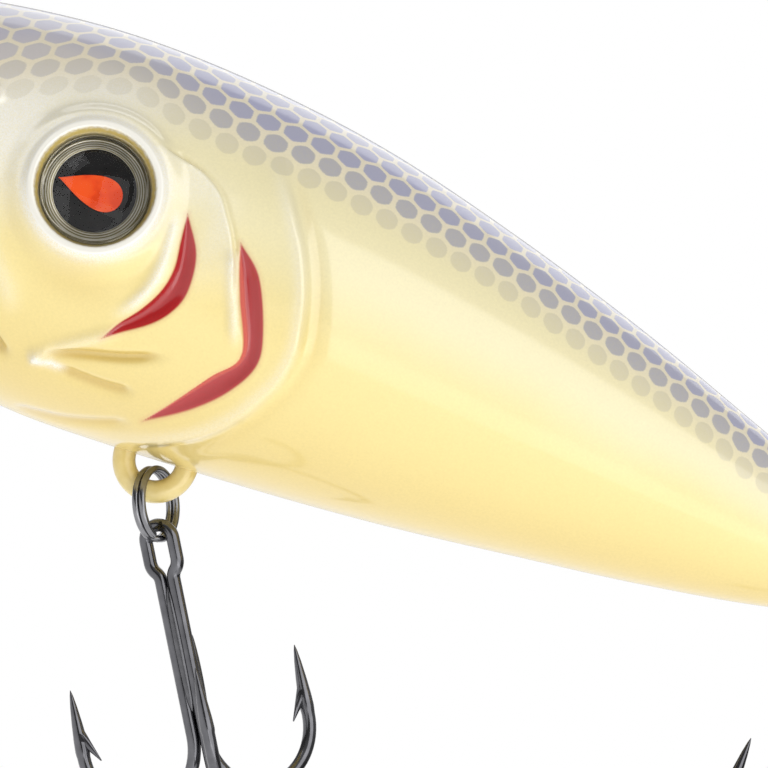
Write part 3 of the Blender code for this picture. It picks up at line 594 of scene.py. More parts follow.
facing(outer, True)
facing(inner, False)
deselect()
outer.select_set(True)
inner.select_set(True)
bpy.context.view_layer.objects.active = outer
bpy.ops.object.join()
bpy.ops.object.mode_set(mode="EDIT")
bpy.ops.mesh.select_mode(type="EDGE")
bpy.ops.mesh.select_all(action="DESELECT")
bpy.ops.mesh.select_non_manifold()
bpy.ops.mesh.bridge_edge_loops()
bpy.ops.mesh.select_all(action="SELECT")
bpy.ops.mesh.normals_make_consistent(inside=False)
bpy.ops.object.mode_set(mode="OBJECT")
bpy.ops.object.shade_smooth_by_angle(angle=math.radians(50))
left_half = outer
left_half.name = "left_half_shell"
print("left half", len(left_half.data.polygons), "faces")


# %% [markdown]
# ## The right half
# The other half of the mould is the mirror image. The copy has a mesh of its own, is scaled by -1 across
# the seam and has its faces turned back round, because a mirror turns them inside out.

# %% Mirror a piece across the seam
def mirrored(piece, name):
    deselect()
    twin = piece.copy()
    twin.data = piece.data.copy()
    twin.name = name
    bpy.context.scene.collection.objects.link(twin)
    twin.data.transform(Matrix.Scale(-1, 4, (0, 1, 0)))
    twin.data.flip_normals()
    return twin


right_half = mirrored(left_half, "right_half_shell")
for half, node_name in ((left_half, "body_left"), (right_half, "body_right")):
    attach(half, "body")
    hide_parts(node_name)

# %% [markdown]
# ## Pearl paint with stencilled scales
# The body is ABS with a cream base coat, a pearl mist on the head's high spots with painted highlights
# along the moulded ridges, and a lavender back sprayed through a hexagon stencil, so the base coat shows as
# fine lines between the scales. The lower rows were sprayed thinner and fade out. The recesses are painted
# a darker yellow as painted shade. Each gill cut is blood red, and the second cut's wall that faces the
# light is painted pale pink as a painted highlight. Over all of it lies a thick clear coat, which gives the
# sharp, wet reflections.

# %% The paint
paint = bpy.data.materials.new("pearl_paint_under_clear_coat")
paint.use_nodes = True
tree = paint.node_tree
coat = tree.nodes["Principled BSDF"]
coat.inputs["Roughness"].default_value = 0.34
coat.inputs["Specular IOR Level"].default_value = 0.4
coat.inputs["Coat Weight"].default_value = 1.0
coat.inputs["Coat Roughness"].default_value = 0.11
coat.inputs["Coat IOR"].default_value = 1.56

place = add(tree, "ShaderNodeTexCoord").outputs["Object"]
value_of = {
    label: add(tree, "ShaderNodeAttribute", attribute_name=label).outputs["Fac"]
    for label in ("gash", "across", "pearl_and_ridge_highlight", "relief", "climb")
}


def mix(factor, first, second):
    """A colour between two others."""
    made = add(tree, "ShaderNodeMix", {"Factor": factor}, data_type="RGBA")
    for socket, value in ((made.inputs[6], first), (made.inputs[7], second)):
        if isinstance(value, str):
            socket.default_value = linear(value)
        else:
            tree.links.new(value, socket)
    return made.outputs[2]


def between(value, start, end, low=0.0, high=1.0):
    """Map a value smoothly from one range to another."""
    return add(
        tree,
        "ShaderNodeMapRange",
        {"Value": value, "From Min": start, "From Max": end, "To Min": low, "To Max": high},
        interpolation_type="SMOOTHSTEP",
    ).outputs[0]


def maths(operation, first, second):
    return add(tree, "ShaderNodeMath", {0: first, 1: second}, operation=operation).outputs[0]


drift = add(tree, "ShaderNodeTexNoise", {"Vector": place, "Scale": 55.0, "Detail": 3.0}).outputs["Fac"]
grain = add(tree, "ShaderNodeTexNoise", {"Vector": place, "Scale": 4200.0, "Detail": 1.0}).outputs["Fac"]
flake = add(tree, "ShaderNodeTexNoise", {"Vector": place, "Scale": 9000.0, "Detail": 2.0}).outputs["Fac"]

climbing = maths("ADD", value_of["climb"], maths("MULTIPLY", maths("SUBTRACT", drift, 0.5), 0.18))
flank = mix(between(climbing, -0.75, -0.05), "#E6CD7E", "#F4DF93")
flank = mix(between(climbing, -0.05, 0.42), flank, "#F6EBBB")
# painted shade: the recessed skin is painted a darker yellow
painted_recess_shade = maths("MULTIPLY", between(value_of["relief"], -0.05, -0.45), 0.7)
flank = mix(painted_recess_shade, flank, "#D2B25C")
# the pearl mist, which also carries the painted highlights along the ridges and edges
pearl_mist_and_highlight = maths("MULTIPLY", value_of["pearl_and_ridge_highlight"], between(flake, 0.4, 0.6, 0.6, 1.0))
cream = mix(pearl_mist_and_highlight, flank, "#FBF8EE")

# %% [markdown]
# ### The scales
# Two square lattices, one set between the other, make a hexagon grid: a place's distance to the nearest
# centre, measured the hexagon's way, says whether it lies in a scale or on the line between two.

# %% Scale stencil
cell = add(tree, "ShaderNodeUVMap", uv_map="scales").outputs["UV"]
row = add(tree, "ShaderNodeSeparateXYZ", {0: cell}).outputs["Y"]
lattices = []
for shift in ((0, 0, 0), (-0.5, -0.5, 0)):
    halved = add(
        tree, "ShaderNodeVectorMath", {0: cell, 1: (1, 0.5, 1), 2: shift}, operation="MULTIPLY_ADD"
    ).outputs[0]
    wrapped = add(
        tree, "ShaderNodeVectorMath", {0: halved, 1: (0.5, 0.5, 1), 2: (-0.5, -0.5, -1)}, operation="WRAP"
    ).outputs[0]
    sized = add(tree, "ShaderNodeVectorMath", {0: wrapped, 1: (1, 1.732, 0)}, operation="MULTIPLY").outputs[0]
    folded = add(tree, "ShaderNodeVectorMath", {0: sized}, operation="ABSOLUTE").outputs[0]
    slanted = add(
        tree, "ShaderNodeVectorMath", {0: folded, 1: (0.5, 0.866, 0)}, operation="DOT_PRODUCT"
    ).outputs["Value"]
    straight = add(tree, "ShaderNodeSeparateXYZ", {0: folded}).outputs["X"]
    rounded = add(tree, "ShaderNodeVectorMath", {0: sized}, operation="LENGTH").outputs["Value"]
    hexagon = maths("MAXIMUM", slanted, straight)
    above = add(tree, "ShaderNodeSeparateXYZ", {0: wrapped}).outputs["Y"]
    lattices.append((hexagon, rounded, above))

(first_hexagon, first_round, first_above), (other_hexagon, other_round, other_above) = lattices
in_other = maths("LESS_THAN", other_hexagon, first_hexagon)


def chosen(first, other):
    """The value of whichever lattice's scale a place lies in."""
    return maths("ADD", first, maths("MULTIPLY", maths("SUBTRACT", other, first), in_other))


hexagon = maths("MINIMUM", first_hexagon, other_hexagon)
own_row = maths("SUBTRACT", row, maths("MULTIPLY", chosen(first_above, other_above), 2.0))
roundness = between(own_row, 3.5, 6.0, 0.3, 0.8)
softened = maths(
    "ADD",
    maths("MULTIPLY", hexagon, maths("SUBTRACT", 1.0, roundness)),
    maths("MULTIPLY", chosen(first_round, other_round), roundness),
)
ragged = maths("ADD", softened, maths("MULTIPLY", maths("SUBTRACT", flake, 0.5), 0.07))
edge_start = between(own_row, 3.0, 6.0, 0.395, 0.37)
edge_end = between(own_row, 3.0, 6.0, 0.45, 0.44)
in_scale = add(
    tree,
    "ShaderNodeMapRange",
    {"Value": ragged, "From Min": edge_start, "From Max": edge_end, "To Min": 1.0, "To Max": 0.0},
    interpolation_type="SMOOTHSTEP",
).outputs[0]
sprayed = between(own_row, 4.6, 7.0, 1.0, 0.0)
lavender = mix(between(own_row, 0.0, 2.4), "#BEBFDA", "#AAABCC")
lavender = mix(between(own_row, 3.2, 4.9), lavender, "#B7B5BC")
lavender = mix(between(own_row, 4.6, 6.0), lavender, "#C3BCA2")
lavender = mix(maths("MULTIPLY", between(grain, 0.42, 0.62), 0.2), lavender, "#9C9CBC")
under = mix(between(row, 6.9, 4.4), cream, "#F1E6CA")
under = mix(maths("MULTIPLY", between(row, 3.6, 0.0), 0.35), under, "#D6D4E0")
faded_spray = maths("MULTIPLY", sprayed, maths("SUBTRACT", 1.0, maths("MULTIPLY", value_of["pearl_and_ridge_highlight"], 0.45)))
scaled = mix(maths("MULTIPLY", in_scale, faded_spray), under, lavender)

# %% The gill cuts' red
in_cut = between(value_of["gash"], 0.1, -0.12)
# painted highlight: the second cut's head-side wall is pale pink, the rest blood red
gill_red_and_wall_highlight = mix(between(value_of["across"], 0.14, 0.34), "#DC6C5C", "#B00A10")
gill_red_and_wall_highlight = mix(between(value_of["across"], 0.8, 1.0), gill_red_and_wall_highlight, "#BC1A1D")
halo = maths("MULTIPLY", between(value_of["gash"], 0.5, 0.0), 0.16)
colour = mix(halo, scaled, "#C9604A")
colour = mix(in_cut, colour, gill_red_and_wall_highlight)
speckle = maths("MULTIPLY", maths("SUBTRACT", grain, 0.5), 0.1)
colour = add(tree, "ShaderNodeHueSaturation", {"Value": maths("ADD", speckle, 1.0), "Color": colour}).outputs[0]
tree.links.new(colour, coat.inputs["Base Color"])
orange_peel = add(tree, "ShaderNodeTexNoise", {"Vector": place, "Scale": 900.0, "Detail": 1.0}).outputs["Fac"]
dimples = add(
    tree, "ShaderNodeBump", {"Height": orange_peel, "Strength": 0.05, "Distance": 0.02 * MM}
).outputs[0]
tree.links.new(dimples, coat.inputs["Normal"])

for half in (left_half, right_half):
    half.data.materials.clear()
    half.data.materials.append(paint)
print("paint has", len(tree.nodes), "nodes")

# %% [markdown]
# ## Turned pieces
# The socket's cup, the foil, the black print and the lens are all round, so each is a profile drawn from
# the axis outwards and spun about it.

# %% A turned piece
def rounded_corner(middle, radius, start, end, count):
    """Points on an arc of a profile, by angle in degrees."""
    return [
        (middle[0] + radius * math.cos(a), middle[1] + radius * math.sin(a))
        for a in np.radians(np.linspace(start, end, count))
    ]


def turned(name, profile, frame_matrix, steps=96):
    """Spin a closed profile of (radius, height) in metres about the frame's Z."""
    deselect()
    bm = bmesh.new()
    ring = [bm.verts.new((radius, 0, height)) for radius, height in profile]
    for first, second in zip(ring, ring[1:]):
        bm.edges.new((first, second))
    mesh = bpy.data.meshes.new(name)
    bm.to_mesh(mesh)
    bm.free()
    piece = bpy.data.objects.new(name, mesh)
    bpy.context.scene.collection.objects.link(piece)
    bpy.context.view_layer.objects.active = piece
    piece.select_set(True)
    bpy.ops.object.mode_set(mode="EDIT")
    bpy.ops.mesh.select_all(action="SELECT")
    bpy.ops.mesh.spin(steps=steps, angle=math.tau, center=(0, 0, 0), axis=(0, 0, 1))
    bpy.ops.mesh.select_all(action="SELECT")
    bpy.ops.mesh.remove_doubles(threshold=0.001 * MM)
    bpy.ops.mesh.normals_make_consistent(inside=False)
    bpy.ops.object.mode_set(mode="OBJECT")
    piece.data.transform(frame_matrix)
    bpy.ops.object.shade_smooth_by_angle(angle=math.radians(35))
    return piece


def set_radius(piece):
    """Keep each point's distance from the eye's axis, in millimetres, for the finish to read."""
    towards = EYE_FRAME.inverted()
    offsets = [(towards @ vertex.co).xy.length / MM for vertex in piece.data.vertices]
    layer = piece.data.attributes.new("eye_radius", "FLOAT", "POINT")
    layer.data.foreach_set("value", np.array(offsets, np.float32))


def on_both_sides(piece, stem, body, material, node_stem=None):
    """Finish a left-hand piece, make its mirrored twin and set both on the body."""
    piece.name = "left_" + stem
    twin = mirrored(piece, "right_" + stem)
    for made, hand in ((piece, "left"), (twin, "right")):
        made.data.materials.clear()
        made.data.materials.append(material)
        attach(made, body)
        if node_stem:
            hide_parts(f"{node_stem}_{hand}")


# %% [markdown]
# ### Eye socket
# The socket's rim is part of the moulding: a soft pearl ring with a yellow gutter inside it, where the
# lens sits. Its profile rolls over the rim and runs down the cup's wall to its floor, and the gutter's
# yellow darkens to grey olive down that wall as painted shade.

# %% Socket
RIM_TOP = 5.66 * MM
socket_profile = (
    [(0, -2.55 * MM), (4.9 * MM, -2.55 * MM), (4.93 * MM, -1.0 * MM), (4.98 * MM, -0.5 * MM)]
    + [(5.08 * MM, -0.2 * MM), (5.2 * MM, 0.12 * MM), (5.32 * MM, 0.42 * MM)]
    + rounded_corner((RIM_TOP, 0.5 * MM), 0.28 * MM, 168, 75, 10)
    + [(5.86 * MM, 0.79 * MM), (6.0 * MM, 0.765 * MM), (6.1 * MM, 0.68 * MM), (6.2 * MM, 0.52 * MM)]
    + [(6.3 * MM, 0.2 * MM), (6.36 * MM, -0.3 * MM), (6.3 * MM, -3.2 * MM)]
    + [(0, -3.2 * MM)]
)
pearl_ring = bpy.data.materials.new("pearl_ring_over_yellow")
pearl_ring.use_nodes = True
tree = pearl_ring.node_tree
shell = tree.nodes["Principled BSDF"]
shell.inputs["Roughness"].default_value = 0.34
shell.inputs["Coat Weight"].default_value = 1.0
shell.inputs["Coat Roughness"].default_value = 0.07
from_eye = add(tree, "ShaderNodeAttribute", attribute_name="eye_radius").outputs["Fac"]
place = add(tree, "ShaderNodeTexCoord").outputs["Object"]
flake = add(tree, "ShaderNodeTexNoise", {"Vector": place, "Scale": 2600.0, "Detail": 2.0}).outputs["Fac"]
ragged = maths("ADD", from_eye, maths("MULTIPLY", maths("SUBTRACT", flake, 0.5), 0.35))
# painted shade: the gutter's yellow darkens to grey olive down the cup's wall
ring_and_gutter_shade = mix(between(ragged, 4.95, 5.2), "#A99B6E", "#DCC36C")
ring_and_gutter_shade = mix(between(ragged, 5.2, 5.55), ring_and_gutter_shade, "#FAF7EC")
tree.links.new(ring_and_gutter_shade, shell.inputs["Base Color"])
socket = turned("socket", socket_profile, Matrix())
socket.data.transform(EYE_FRAME)
set_radius(socket)
on_both_sides(socket, "eye_socket", "body", pearl_ring)

# %% [markdown]
# ### Foil, print and lens
# Behind the lens lies a disc of stamped foil with a black spot and a leaf of orange printed on film, given a
# faint painted glow. The acrylic lens has a flat flange round its dome, and its bevel catches the light as
# two bright crescents.

# %% Foil
foil_low, foil_high = -2.25 * MM, -1.95 * MM
foil = turned(
    "foil",
    [(0, foil_high), (3.4 * MM, foil_high)]
    + [(r * MM, foil_high + 0.05 * MM * (k % 2)) for k, r in enumerate(np.arange(3.6, 4.65, 0.17))]
    + [(4.7 * MM, foil_high), (4.7 * MM, foil_low), (0, foil_low)],
    EYE_FRAME,
)
set_radius(foil)
olive_foil = bpy.data.materials.new("stamped_olive_foil")
olive_foil.use_nodes = True
tree = olive_foil.node_tree
bright = tree.nodes["Principled BSDF"]
bright.inputs["Metallic"].default_value = 0.85
bright.inputs["Roughness"].default_value = 0.28
place = add(tree, "ShaderNodeTexCoord").outputs["Object"]
cloud = add(tree, "ShaderNodeTexNoise", {"Vector": place, "Scale": 700.0, "Detail": 2.0}).outputs["Fac"]
stamped = add(tree, "ShaderNodeAttribute", attribute_name="eye_radius").outputs["Fac"]
line = add(tree, "ShaderNodeMath", {0: stamped, 1: 0.13}, operation="PINGPONG").outputs[0]
silver = mix(cloud, "#B9B199", "#E9E6DA")
tree.links.new(mix(between(line, 0.03, 0.1), "#857B55", silver), bright.inputs["Base Color"])
on_both_sides(foil, "eye_foil_disc", "body", olive_foil, "eye_foil")

# %% Black spot
SPOT_RADIUS = 3.5 * MM
spot = turned(
    "spot",
    [(0, -1.8 * MM), (SPOT_RADIUS - 0.04 * MM, -1.8 * MM), (SPOT_RADIUS, -1.84 * MM), (SPOT_RADIUS, -1.9 * MM)]
    + [(0, -1.9 * MM)],
    EYE_FRAME,
)
black_film = bpy.data.materials.new("black_printed_film")
black_film.use_nodes = True
tree = black_film.node_tree
ink = tree.nodes["Principled BSDF"]
ink.inputs["Roughness"].default_value = 0.55
ink.inputs["Specular IOR Level"].default_value = 0.15
place = add(tree, "ShaderNodeTexCoord").outputs["Object"]
cloud = add(tree, "ShaderNodeTexNoise", {"Vector": place, "Scale": 300.0, "Detail": 2.0}).outputs["Fac"]
tree.links.new(mix(between(cloud, 0.4, 0.65), "#040304", "#0E0D0E"), ink.inputs["Base Color"])
on_both_sides(spot, "eye_spot", "body", black_film)

# %% Orange leaf
# a leaf that points forward, by share of the way round it
around = np.linspace(0, math.tau, 40, endpoint=False)
LEAF = [(-0.4 - 2.7 * math.cos(a), 1.95 * math.sin(a) * math.sin(a / 2) ** 1.4) for a in around]
deselect()
bpy.ops.mesh.primitive_circle_add(vertices=len(LEAF), radius=1 * MM, fill_type="NGON")
leaf = bpy.context.active_object
for vertex, (along_eye, up_eye) in zip(leaf.data.vertices, LEAF):
    vertex.co = (along_eye * MM, up_eye * MM, -1.74 * MM)
bpy.ops.object.mode_set(mode="EDIT")
bpy.ops.mesh.select_all(action="SELECT")
bpy.ops.mesh.extrude_region_move(TRANSFORM_OT_translate={"value": (0, 0, 0.14 * MM)})
bpy.ops.mesh.select_all(action="SELECT")
bpy.ops.mesh.normals_make_consistent(inside=False)
bpy.ops.mesh.bevel(offset=0.05 * MM, segments=2)
bpy.ops.object.mode_set(mode="OBJECT")
leaf.data.transform(EYE_FRAME)
glowing_orange_film = bpy.data.materials.new("orange_print_with_painted_glow")
glowing_orange_film.use_nodes = True
tree = glowing_orange_film.node_tree
ink = tree.nodes["Principled BSDF"]
ink.inputs["Roughness"].default_value = 0.6
ink.inputs["Specular IOR Level"].default_value = 0.15
place = add(tree, "ShaderNodeTexCoord").outputs["Object"]
cloud = add(tree, "ShaderNodeTexNoise", {"Vector": place, "Scale": 500.0, "Detail": 3.0}).outputs["Fac"]
orange = mix(between(cloud, 0.35, 0.6), "#E8430C", "#FF5A1C")
tree.links.new(orange, ink.inputs["Base Color"])
# painted glow: the orange print gives off faint light of its own
tree.links.new(orange, ink.inputs["Emission Color"])
ink.inputs["Emission Strength"].default_value = 0.15
on_both_sides(leaf, "eye_leaf", "body", glowing_orange_film, "eye_pupil")

# %% Lens
lens_low = -1.45 * MM
dome = rounded_corner((0, -4.3 * MM), 5.6 * MM, 90, 50, 12)
lens_profile = (
    dome
    + [(3.85 * MM, -0.1 * MM), (4.1 * MM, -0.22 * MM), (4.55 * MM, -0.26 * MM)]
    + rounded_corner((4.62 * MM, -0.46 * MM), 0.2 * MM, 90, 0, 5)
    + [(4.82 * MM, lens_low), (0, lens_low)]
)
lens = turned("lens", lens_profile, EYE_FRAME)
clear_acrylic = bpy.data.materials.new("clear_cast_acrylic")
clear_acrylic.use_nodes = True
glassy = clear_acrylic.node_tree.nodes["Principled BSDF"]
glassy.inputs["Base Color"].default_value = linear("#FFFFFF")
glassy.inputs["Roughness"].default_value = 0.015
# below acrylic's real 1.49, so that the pale floor's reflection doesn't grey the black print behind it
glassy.inputs["IOR"].default_value = 1.28
glassy.inputs["Transmission Weight"].default_value = 1.0
on_both_sides(lens, "eye_lens_dome", "body", clear_acrylic, "eye_lens")

# %% [markdown]
# ## Wire pieces
# The line tie, the hangers, the split rings and the hooks are all bent from round wire, so each is a line
# of points with a round bevel, made into a mesh with its ends closed. Points along arcs are worked out.

# %% Wire helpers
def wire(name, points, radius, shares=None, sides=3):
    """A round wire through points. shares gives each point's share of the radius."""
    deselect()
    line = bpy.data.curves.new(name, "CURVE")
    line.dimensions = "3D"
    line.bevel_depth = radius
    line.bevel_resolution = sides
    line.use_fill_caps = True
    spline = line.splines.new("POLY")
    spline.points.add(len(points) - 1)
    for index, (point, place) in enumerate(zip(spline.points, points)):
        point.co = (*place, 1)
        point.radius = 1 if shares is None else shares[index]
    piece = bpy.data.objects.new(name, line)
    bpy.context.scene.collection.objects.link(piece)
    piece.select_set(True)
    bpy.context.view_layer.objects.active = piece
    bpy.ops.object.convert(target="MESH")
    bpy.ops.object.mode_set(mode="EDIT")
    bpy.ops.mesh.select_all(action="SELECT")
    bpy.ops.mesh.remove_doubles(threshold=0.001 * MM)
    bpy.ops.mesh.normals_make_consistent(inside=False)
    bpy.ops.object.mode_set(mode="OBJECT")
    bpy.ops.object.shade_smooth_by_angle(angle=math.radians(60))
    return piece


def arc(centre, radius, start, end, steps):
    """Points on a circle in a plane, by angle in radians."""
    return [
        Vector((centre[0] + radius * math.cos(a), centre[1] + radius * math.sin(a)))
        for a in np.linspace(start, end, steps + 1)
    ]


def eye_outline(radius, spacing, fillet, straight=0.0):
    """A wire eye on two legs side by side, its middle at (0, 0) and the legs towards -Y."""
    leg = spacing / 2
    side = math.acos((leg + fillet) / (radius + fillet))
    depth = (radius + fillet) * math.sin(side)
    lower, upper = -straight / 2, straight / 2
    neck = arc((leg + fillet, lower - depth), fillet, math.pi, math.pi - side, 10)
    cheek = arc((0, lower), radius, -side, 0, 8)
    crown = arc((0, upper), radius, 0, math.pi / 2, 14)
    half = neck + cheek[1:] + (crown if straight else crown[1:])
    return half + [Vector((-p.x, p.y)) for p in reversed(half[:-1])]


def finish_piece(piece, body, material, node_name):
    piece.data.materials.clear()
    piece.data.materials.append(material)
    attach(piece, body)
    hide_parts(node_name)


# %% [markdown]
# ### Bright and black wire
# The end eyes are drawn stainless wire. Hooks and rings are carbon steel in black nickel: a dark, smooth
# plate that is almost a mirror, so it reads black with thin, hard white lines where it meets the light.

# %% Metals
def plated(name, dark, light, roughness, streak):
    """A metal whose colour drifts a little along streaks of a given size in millimetres."""
    material = bpy.data.materials.new(name)
    material.use_nodes = True
    graph = material.node_tree
    metal = graph.nodes["Principled BSDF"]
    metal.inputs["Metallic"].default_value = 1.0
    coords = add(graph, "ShaderNodeTexCoord").outputs["Object"]
    cloud = add(graph, "ShaderNodeTexNoise", {"Vector": coords, "Scale": 1000 / streak, "Detail": 3.0})
    tint = add(graph, "ShaderNodeMix", {"Factor": cloud.outputs["Fac"]}, data_type="RGBA")
    tint.inputs[6].default_value = linear(dark)
    tint.inputs[7].default_value = linear(light)
    graph.links.new(tint.outputs[2], metal.inputs["Base Color"])
    rough = add(
        graph,
        "ShaderNodeMapRange",
        {"Value": cloud.outputs["Fac"], "To Min": roughness * 0.7, "To Max": roughness * 1.3},
    )
    graph.links.new(rough.outputs[0], metal.inputs["Roughness"])
    fine = add(graph, "ShaderNodeTexNoise", {"Vector": coords, "Scale": 3000.0, "Detail": 2.0})
    drawn_lines = add(
        graph, "ShaderNodeBump", {"Height": fine.outputs["Fac"], "Strength": 0.15, "Distance": 0.01 * MM}
    )
    graph.links.new(drawn_lines.outputs[0], metal.inputs["Normal"])
    return material


black_nickel = plated("black_nickel_plate", "#505053", "#7C7C80", 0.15, 1.5)
ring_nickel = plated("black_nickel_spring_wire", "#6E6E71", "#9A9A9D", 0.17, 1.2)
stainless = plated("drawn_stainless_wire", "#A2A2A4", "#C9C9CB", 0.22, 2.0)
solder = plated("braze_in_black_nickel", "#4E4E51", "#77777A", 0.28, 0.6)

painted_wire = bpy.data.materials.new("body_paint_over_wire")
painted_wire.use_nodes = True
tree = painted_wire.node_tree
shell = tree.nodes["Principled BSDF"]
shell.inputs["Roughness"].default_value = 0.36
shell.inputs["Coat Weight"].default_value = 0.8
shell.inputs["Coat Roughness"].default_value = 0.1
place = add(tree, "ShaderNodeTexCoord").outputs["Object"]
cloud = add(tree, "ShaderNodeTexNoise", {"Vector": place, "Scale": 450.0, "Detail": 3.0}).outputs["Fac"]
tree.links.new(mix(between(cloud, 0.3, 0.7), "#E2CA7A", "#F0DC98"), shell.inputs["Base Color"])

# %% Line tie and tail eye
END_EYE_WIRE = 1.7 * MM
END_EYE_RADIUS = 2.3 * MM
END_EYE_STANDOFF = 3.2 * MM
END_EYE_NECK = 0.9 * MM
END_EYE_SHANK = 9.5 * MM
END_EYE_FOOT = 1.0 * MM
LEG_SPACING = 1.8 * MM
tail_height = float(section(np.array(TAIL_X - ENDS["tail"][0]))[0])


def end_eye(name, direction, centre_x, centre_z):
    outline = eye_outline(END_EYE_RADIUS, LEG_SPACING, END_EYE_NECK)
    leg_end = -(END_EYE_RADIUS + END_EYE_SHANK)
    bend = END_EYE_WIRE
    turn = arc((LEG_SPACING / 2 + bend, leg_end + bend), bend, math.pi, 1.5 * math.pi, 8)
    start = [Vector((LEG_SPACING / 2 + bend + END_EYE_FOOT, leg_end))] + turn[::-1]
    plane = start + outline + [Vector((-p.x, p.y)) for p in reversed(start)]
    points = [Vector((centre_x + direction * p.y, 0, centre_z + p.x)) for p in plane]
    return wire(name, points, END_EYE_WIRE / 2, sides=4)


line_tie = end_eye("line_tie_eye", -1, 0.0, 0.0)
tail_eye_x = TAIL_X + END_EYE_STANDOFF
tail_eye = end_eye("tail_eye", 1, tail_eye_x, tail_height)
finish_piece(line_tie, "body", stainless, "line_tie_wire")
finish_piece(tail_eye, "body", stainless, "tail_hanger")

# %% Belly hanger
HANGER_WIRE = 2.1 * MM
HANGER_RADIUS = 2.83 * MM
HANGER_LEG = 6 * MM
HANGER_FOOT = 3.2 * MM
joint_place = {joint["name"]: Vector(joint.get("pos_m", (0, 0, 0))) for joint in frame["joints"]}
hanger_centre = joint_place["belly_ring_swing"]
foot_turn = arc((HANGER_RADIUS + HANGER_WIRE, HANGER_LEG - HANGER_WIRE), HANGER_WIRE, math.pi, math.pi / 2, 8)
start = [Vector((HANGER_RADIUS + HANGER_WIRE + HANGER_FOOT, HANGER_LEG))] + foot_turn[::-1]
bow = arc((0, 0), HANGER_RADIUS, 0, -math.pi, 40)
plane = start + bow + [Vector((-p.x, p.y)) for p in reversed(start)]
hanger = wire("belly_hanger_bow", [hanger_centre + Vector((p.x, 0, p.y)) for p in plane], HANGER_WIRE / 2, sides=5)
finish_piece(hanger, "body", painted_wire, "belly_hanger")

# %% [markdown]
# ## Split rings
# A split ring is one hard wire wound twice, its second turn lying on the first, with a short step across
# where it was cut. Each is made where the frame has it: about its own middle, turned as it hangs.

# %% Rings
RING_WIRE = 0.64 * MM
RING_RADIUS = 3.13 * MM
COIL_PITCH = 0.67 * MM
TOWARDS_LEFT = Vector((0, -1, 0))
RING_LEANS = {"nose": (-8, 8), "belly": (28, 28), "tail": (30, 0)}


def lean_direction(lean):
    """Down, turned by lean towards the tail."""
    return Vector((math.sin(lean), 0, -math.cos(lean)))


def lean_side(lean):
    """At right angles to that direction, towards the tail."""
    return Vector((math.cos(lean), 0, math.sin(lean)))


def frame_of(x_axis, z_axis, origin):
    return Matrix.Translation(origin) @ Matrix((x_axis, z_axis.cross(x_axis), z_axis)).transposed().to_4x4()


ring_frames = {}
for stem, (lean, yaw) in RING_LEANS.items():
    lean, yaw = math.radians(lean), math.radians(yaw)
    corner_low, corner_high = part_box(stem + "_split_ring")
    middle = (corner_low + corner_high) / 2
    down = lean_direction(lean)
    around = TOWARDS_LEFT * math.cos(yaw) - lean_side(lean) * math.sin(yaw)
    if stem != "nose":
        middle = joint_place[stem + "_treble_swing"]
    ring_frames[stem] = frame_of(down, down.cross(around).normalized(), middle)
    step_across, gap, begin = math.radians(30), math.radians(4), math.radians(30)
    turns = 2 * math.tau - step_across - gap
    points = []
    for turn in np.linspace(0, turns, 190):
        rise = float(np.clip((turn - (math.tau - step_across - gap)) / step_across, 0, 1))
        rise = rise * rise * (3 - 2 * rise)
        points.append(
            ring_frames[stem]
            @ Vector((RING_RADIUS * math.cos(begin + turn), RING_RADIUS * math.sin(begin + turn), COIL_PITCH * (rise - 0.5)))
        )
    ring = wire(stem + "_ring_coil", points, RING_WIRE / 2, sides=4)
    finish_piece(ring, stem + "_ring", ring_nickel, stem + "_split_ring")

# %% [markdown]
# ## Trebles
# A treble is a double hook bent from one wire, which also makes its eye, with a single hook brazed into
# the groove behind its shanks. The point is ground to a spear, and the barb is a sliver raised from it.

# %% Hook shapes
HOOK_WIRE = 1.2 * MM
HOOK_LENGTH = 26 * MM
HOOK_SPREAD = 12 * MM
POINT_DEPTH = 13.6 * MM
NEEDLE = 6.6 * MM
HOOK_EYE_WIDTH = 1.55 * MM
HOOK_EYE_LENGTH = 3.4 * MM
SINGLE_START = 9.8 * MM
SHANK_SPACING = 1.3 * MM
EYE_PLAY = 0.35 * MM
FRAME_RING_WIRE = 0.62 * MM
FRAME_RING_RADIUS = 3.14 * MM
BARB_FROM_TIP = 6.7 * MM
BARB_LENGTH = 2.7 * MM
BARB_HEIGHT = 1.7 * MM
# the point's width as shares of the wire, by its distance from the tip in millimetres
SPEAR = [(0, 0.05), (0.5, 0.26), (1.5, 0.52), (3.0, 0.8), (4.6, 1.03), (5.6, 1.1), (6.6, 0.95), (9.0, 1.0)]


def hook_path(offset, toward, start_depth):
    """One hook from its shank to its point, with each point's share of the wire."""
    radius = (HOOK_SPREAD - offset.dot(toward)) / 2
    bend_depth = HOOK_LENGTH - HOOK_WIRE / 2 - radius
    down = Vector((0, 0, -1))
    shank = [offset + down * depth for depth in np.linspace(start_depth, bend_depth, 12, endpoint=False)]
    bend = [
        offset + toward * (radius * (1 - math.cos(a))) + down * (bend_depth + radius * math.sin(a))
        for a in np.linspace(0, math.pi, 36)
    ]
    depths = np.concatenate([np.linspace(bend_depth, POINT_DEPTH, 26)[1:]])
    point = [offset + toward * 2 * radius + down * depth for depth in depths]
    distances, widths = np.array(SPEAR).T
    shares = [1.0] * (len(shank) + len(bend))
    shares += [float(np.interp((depth - POINT_DEPTH) / MM, distances, widths)) for depth in depths]
    return shank + bend + point, shares


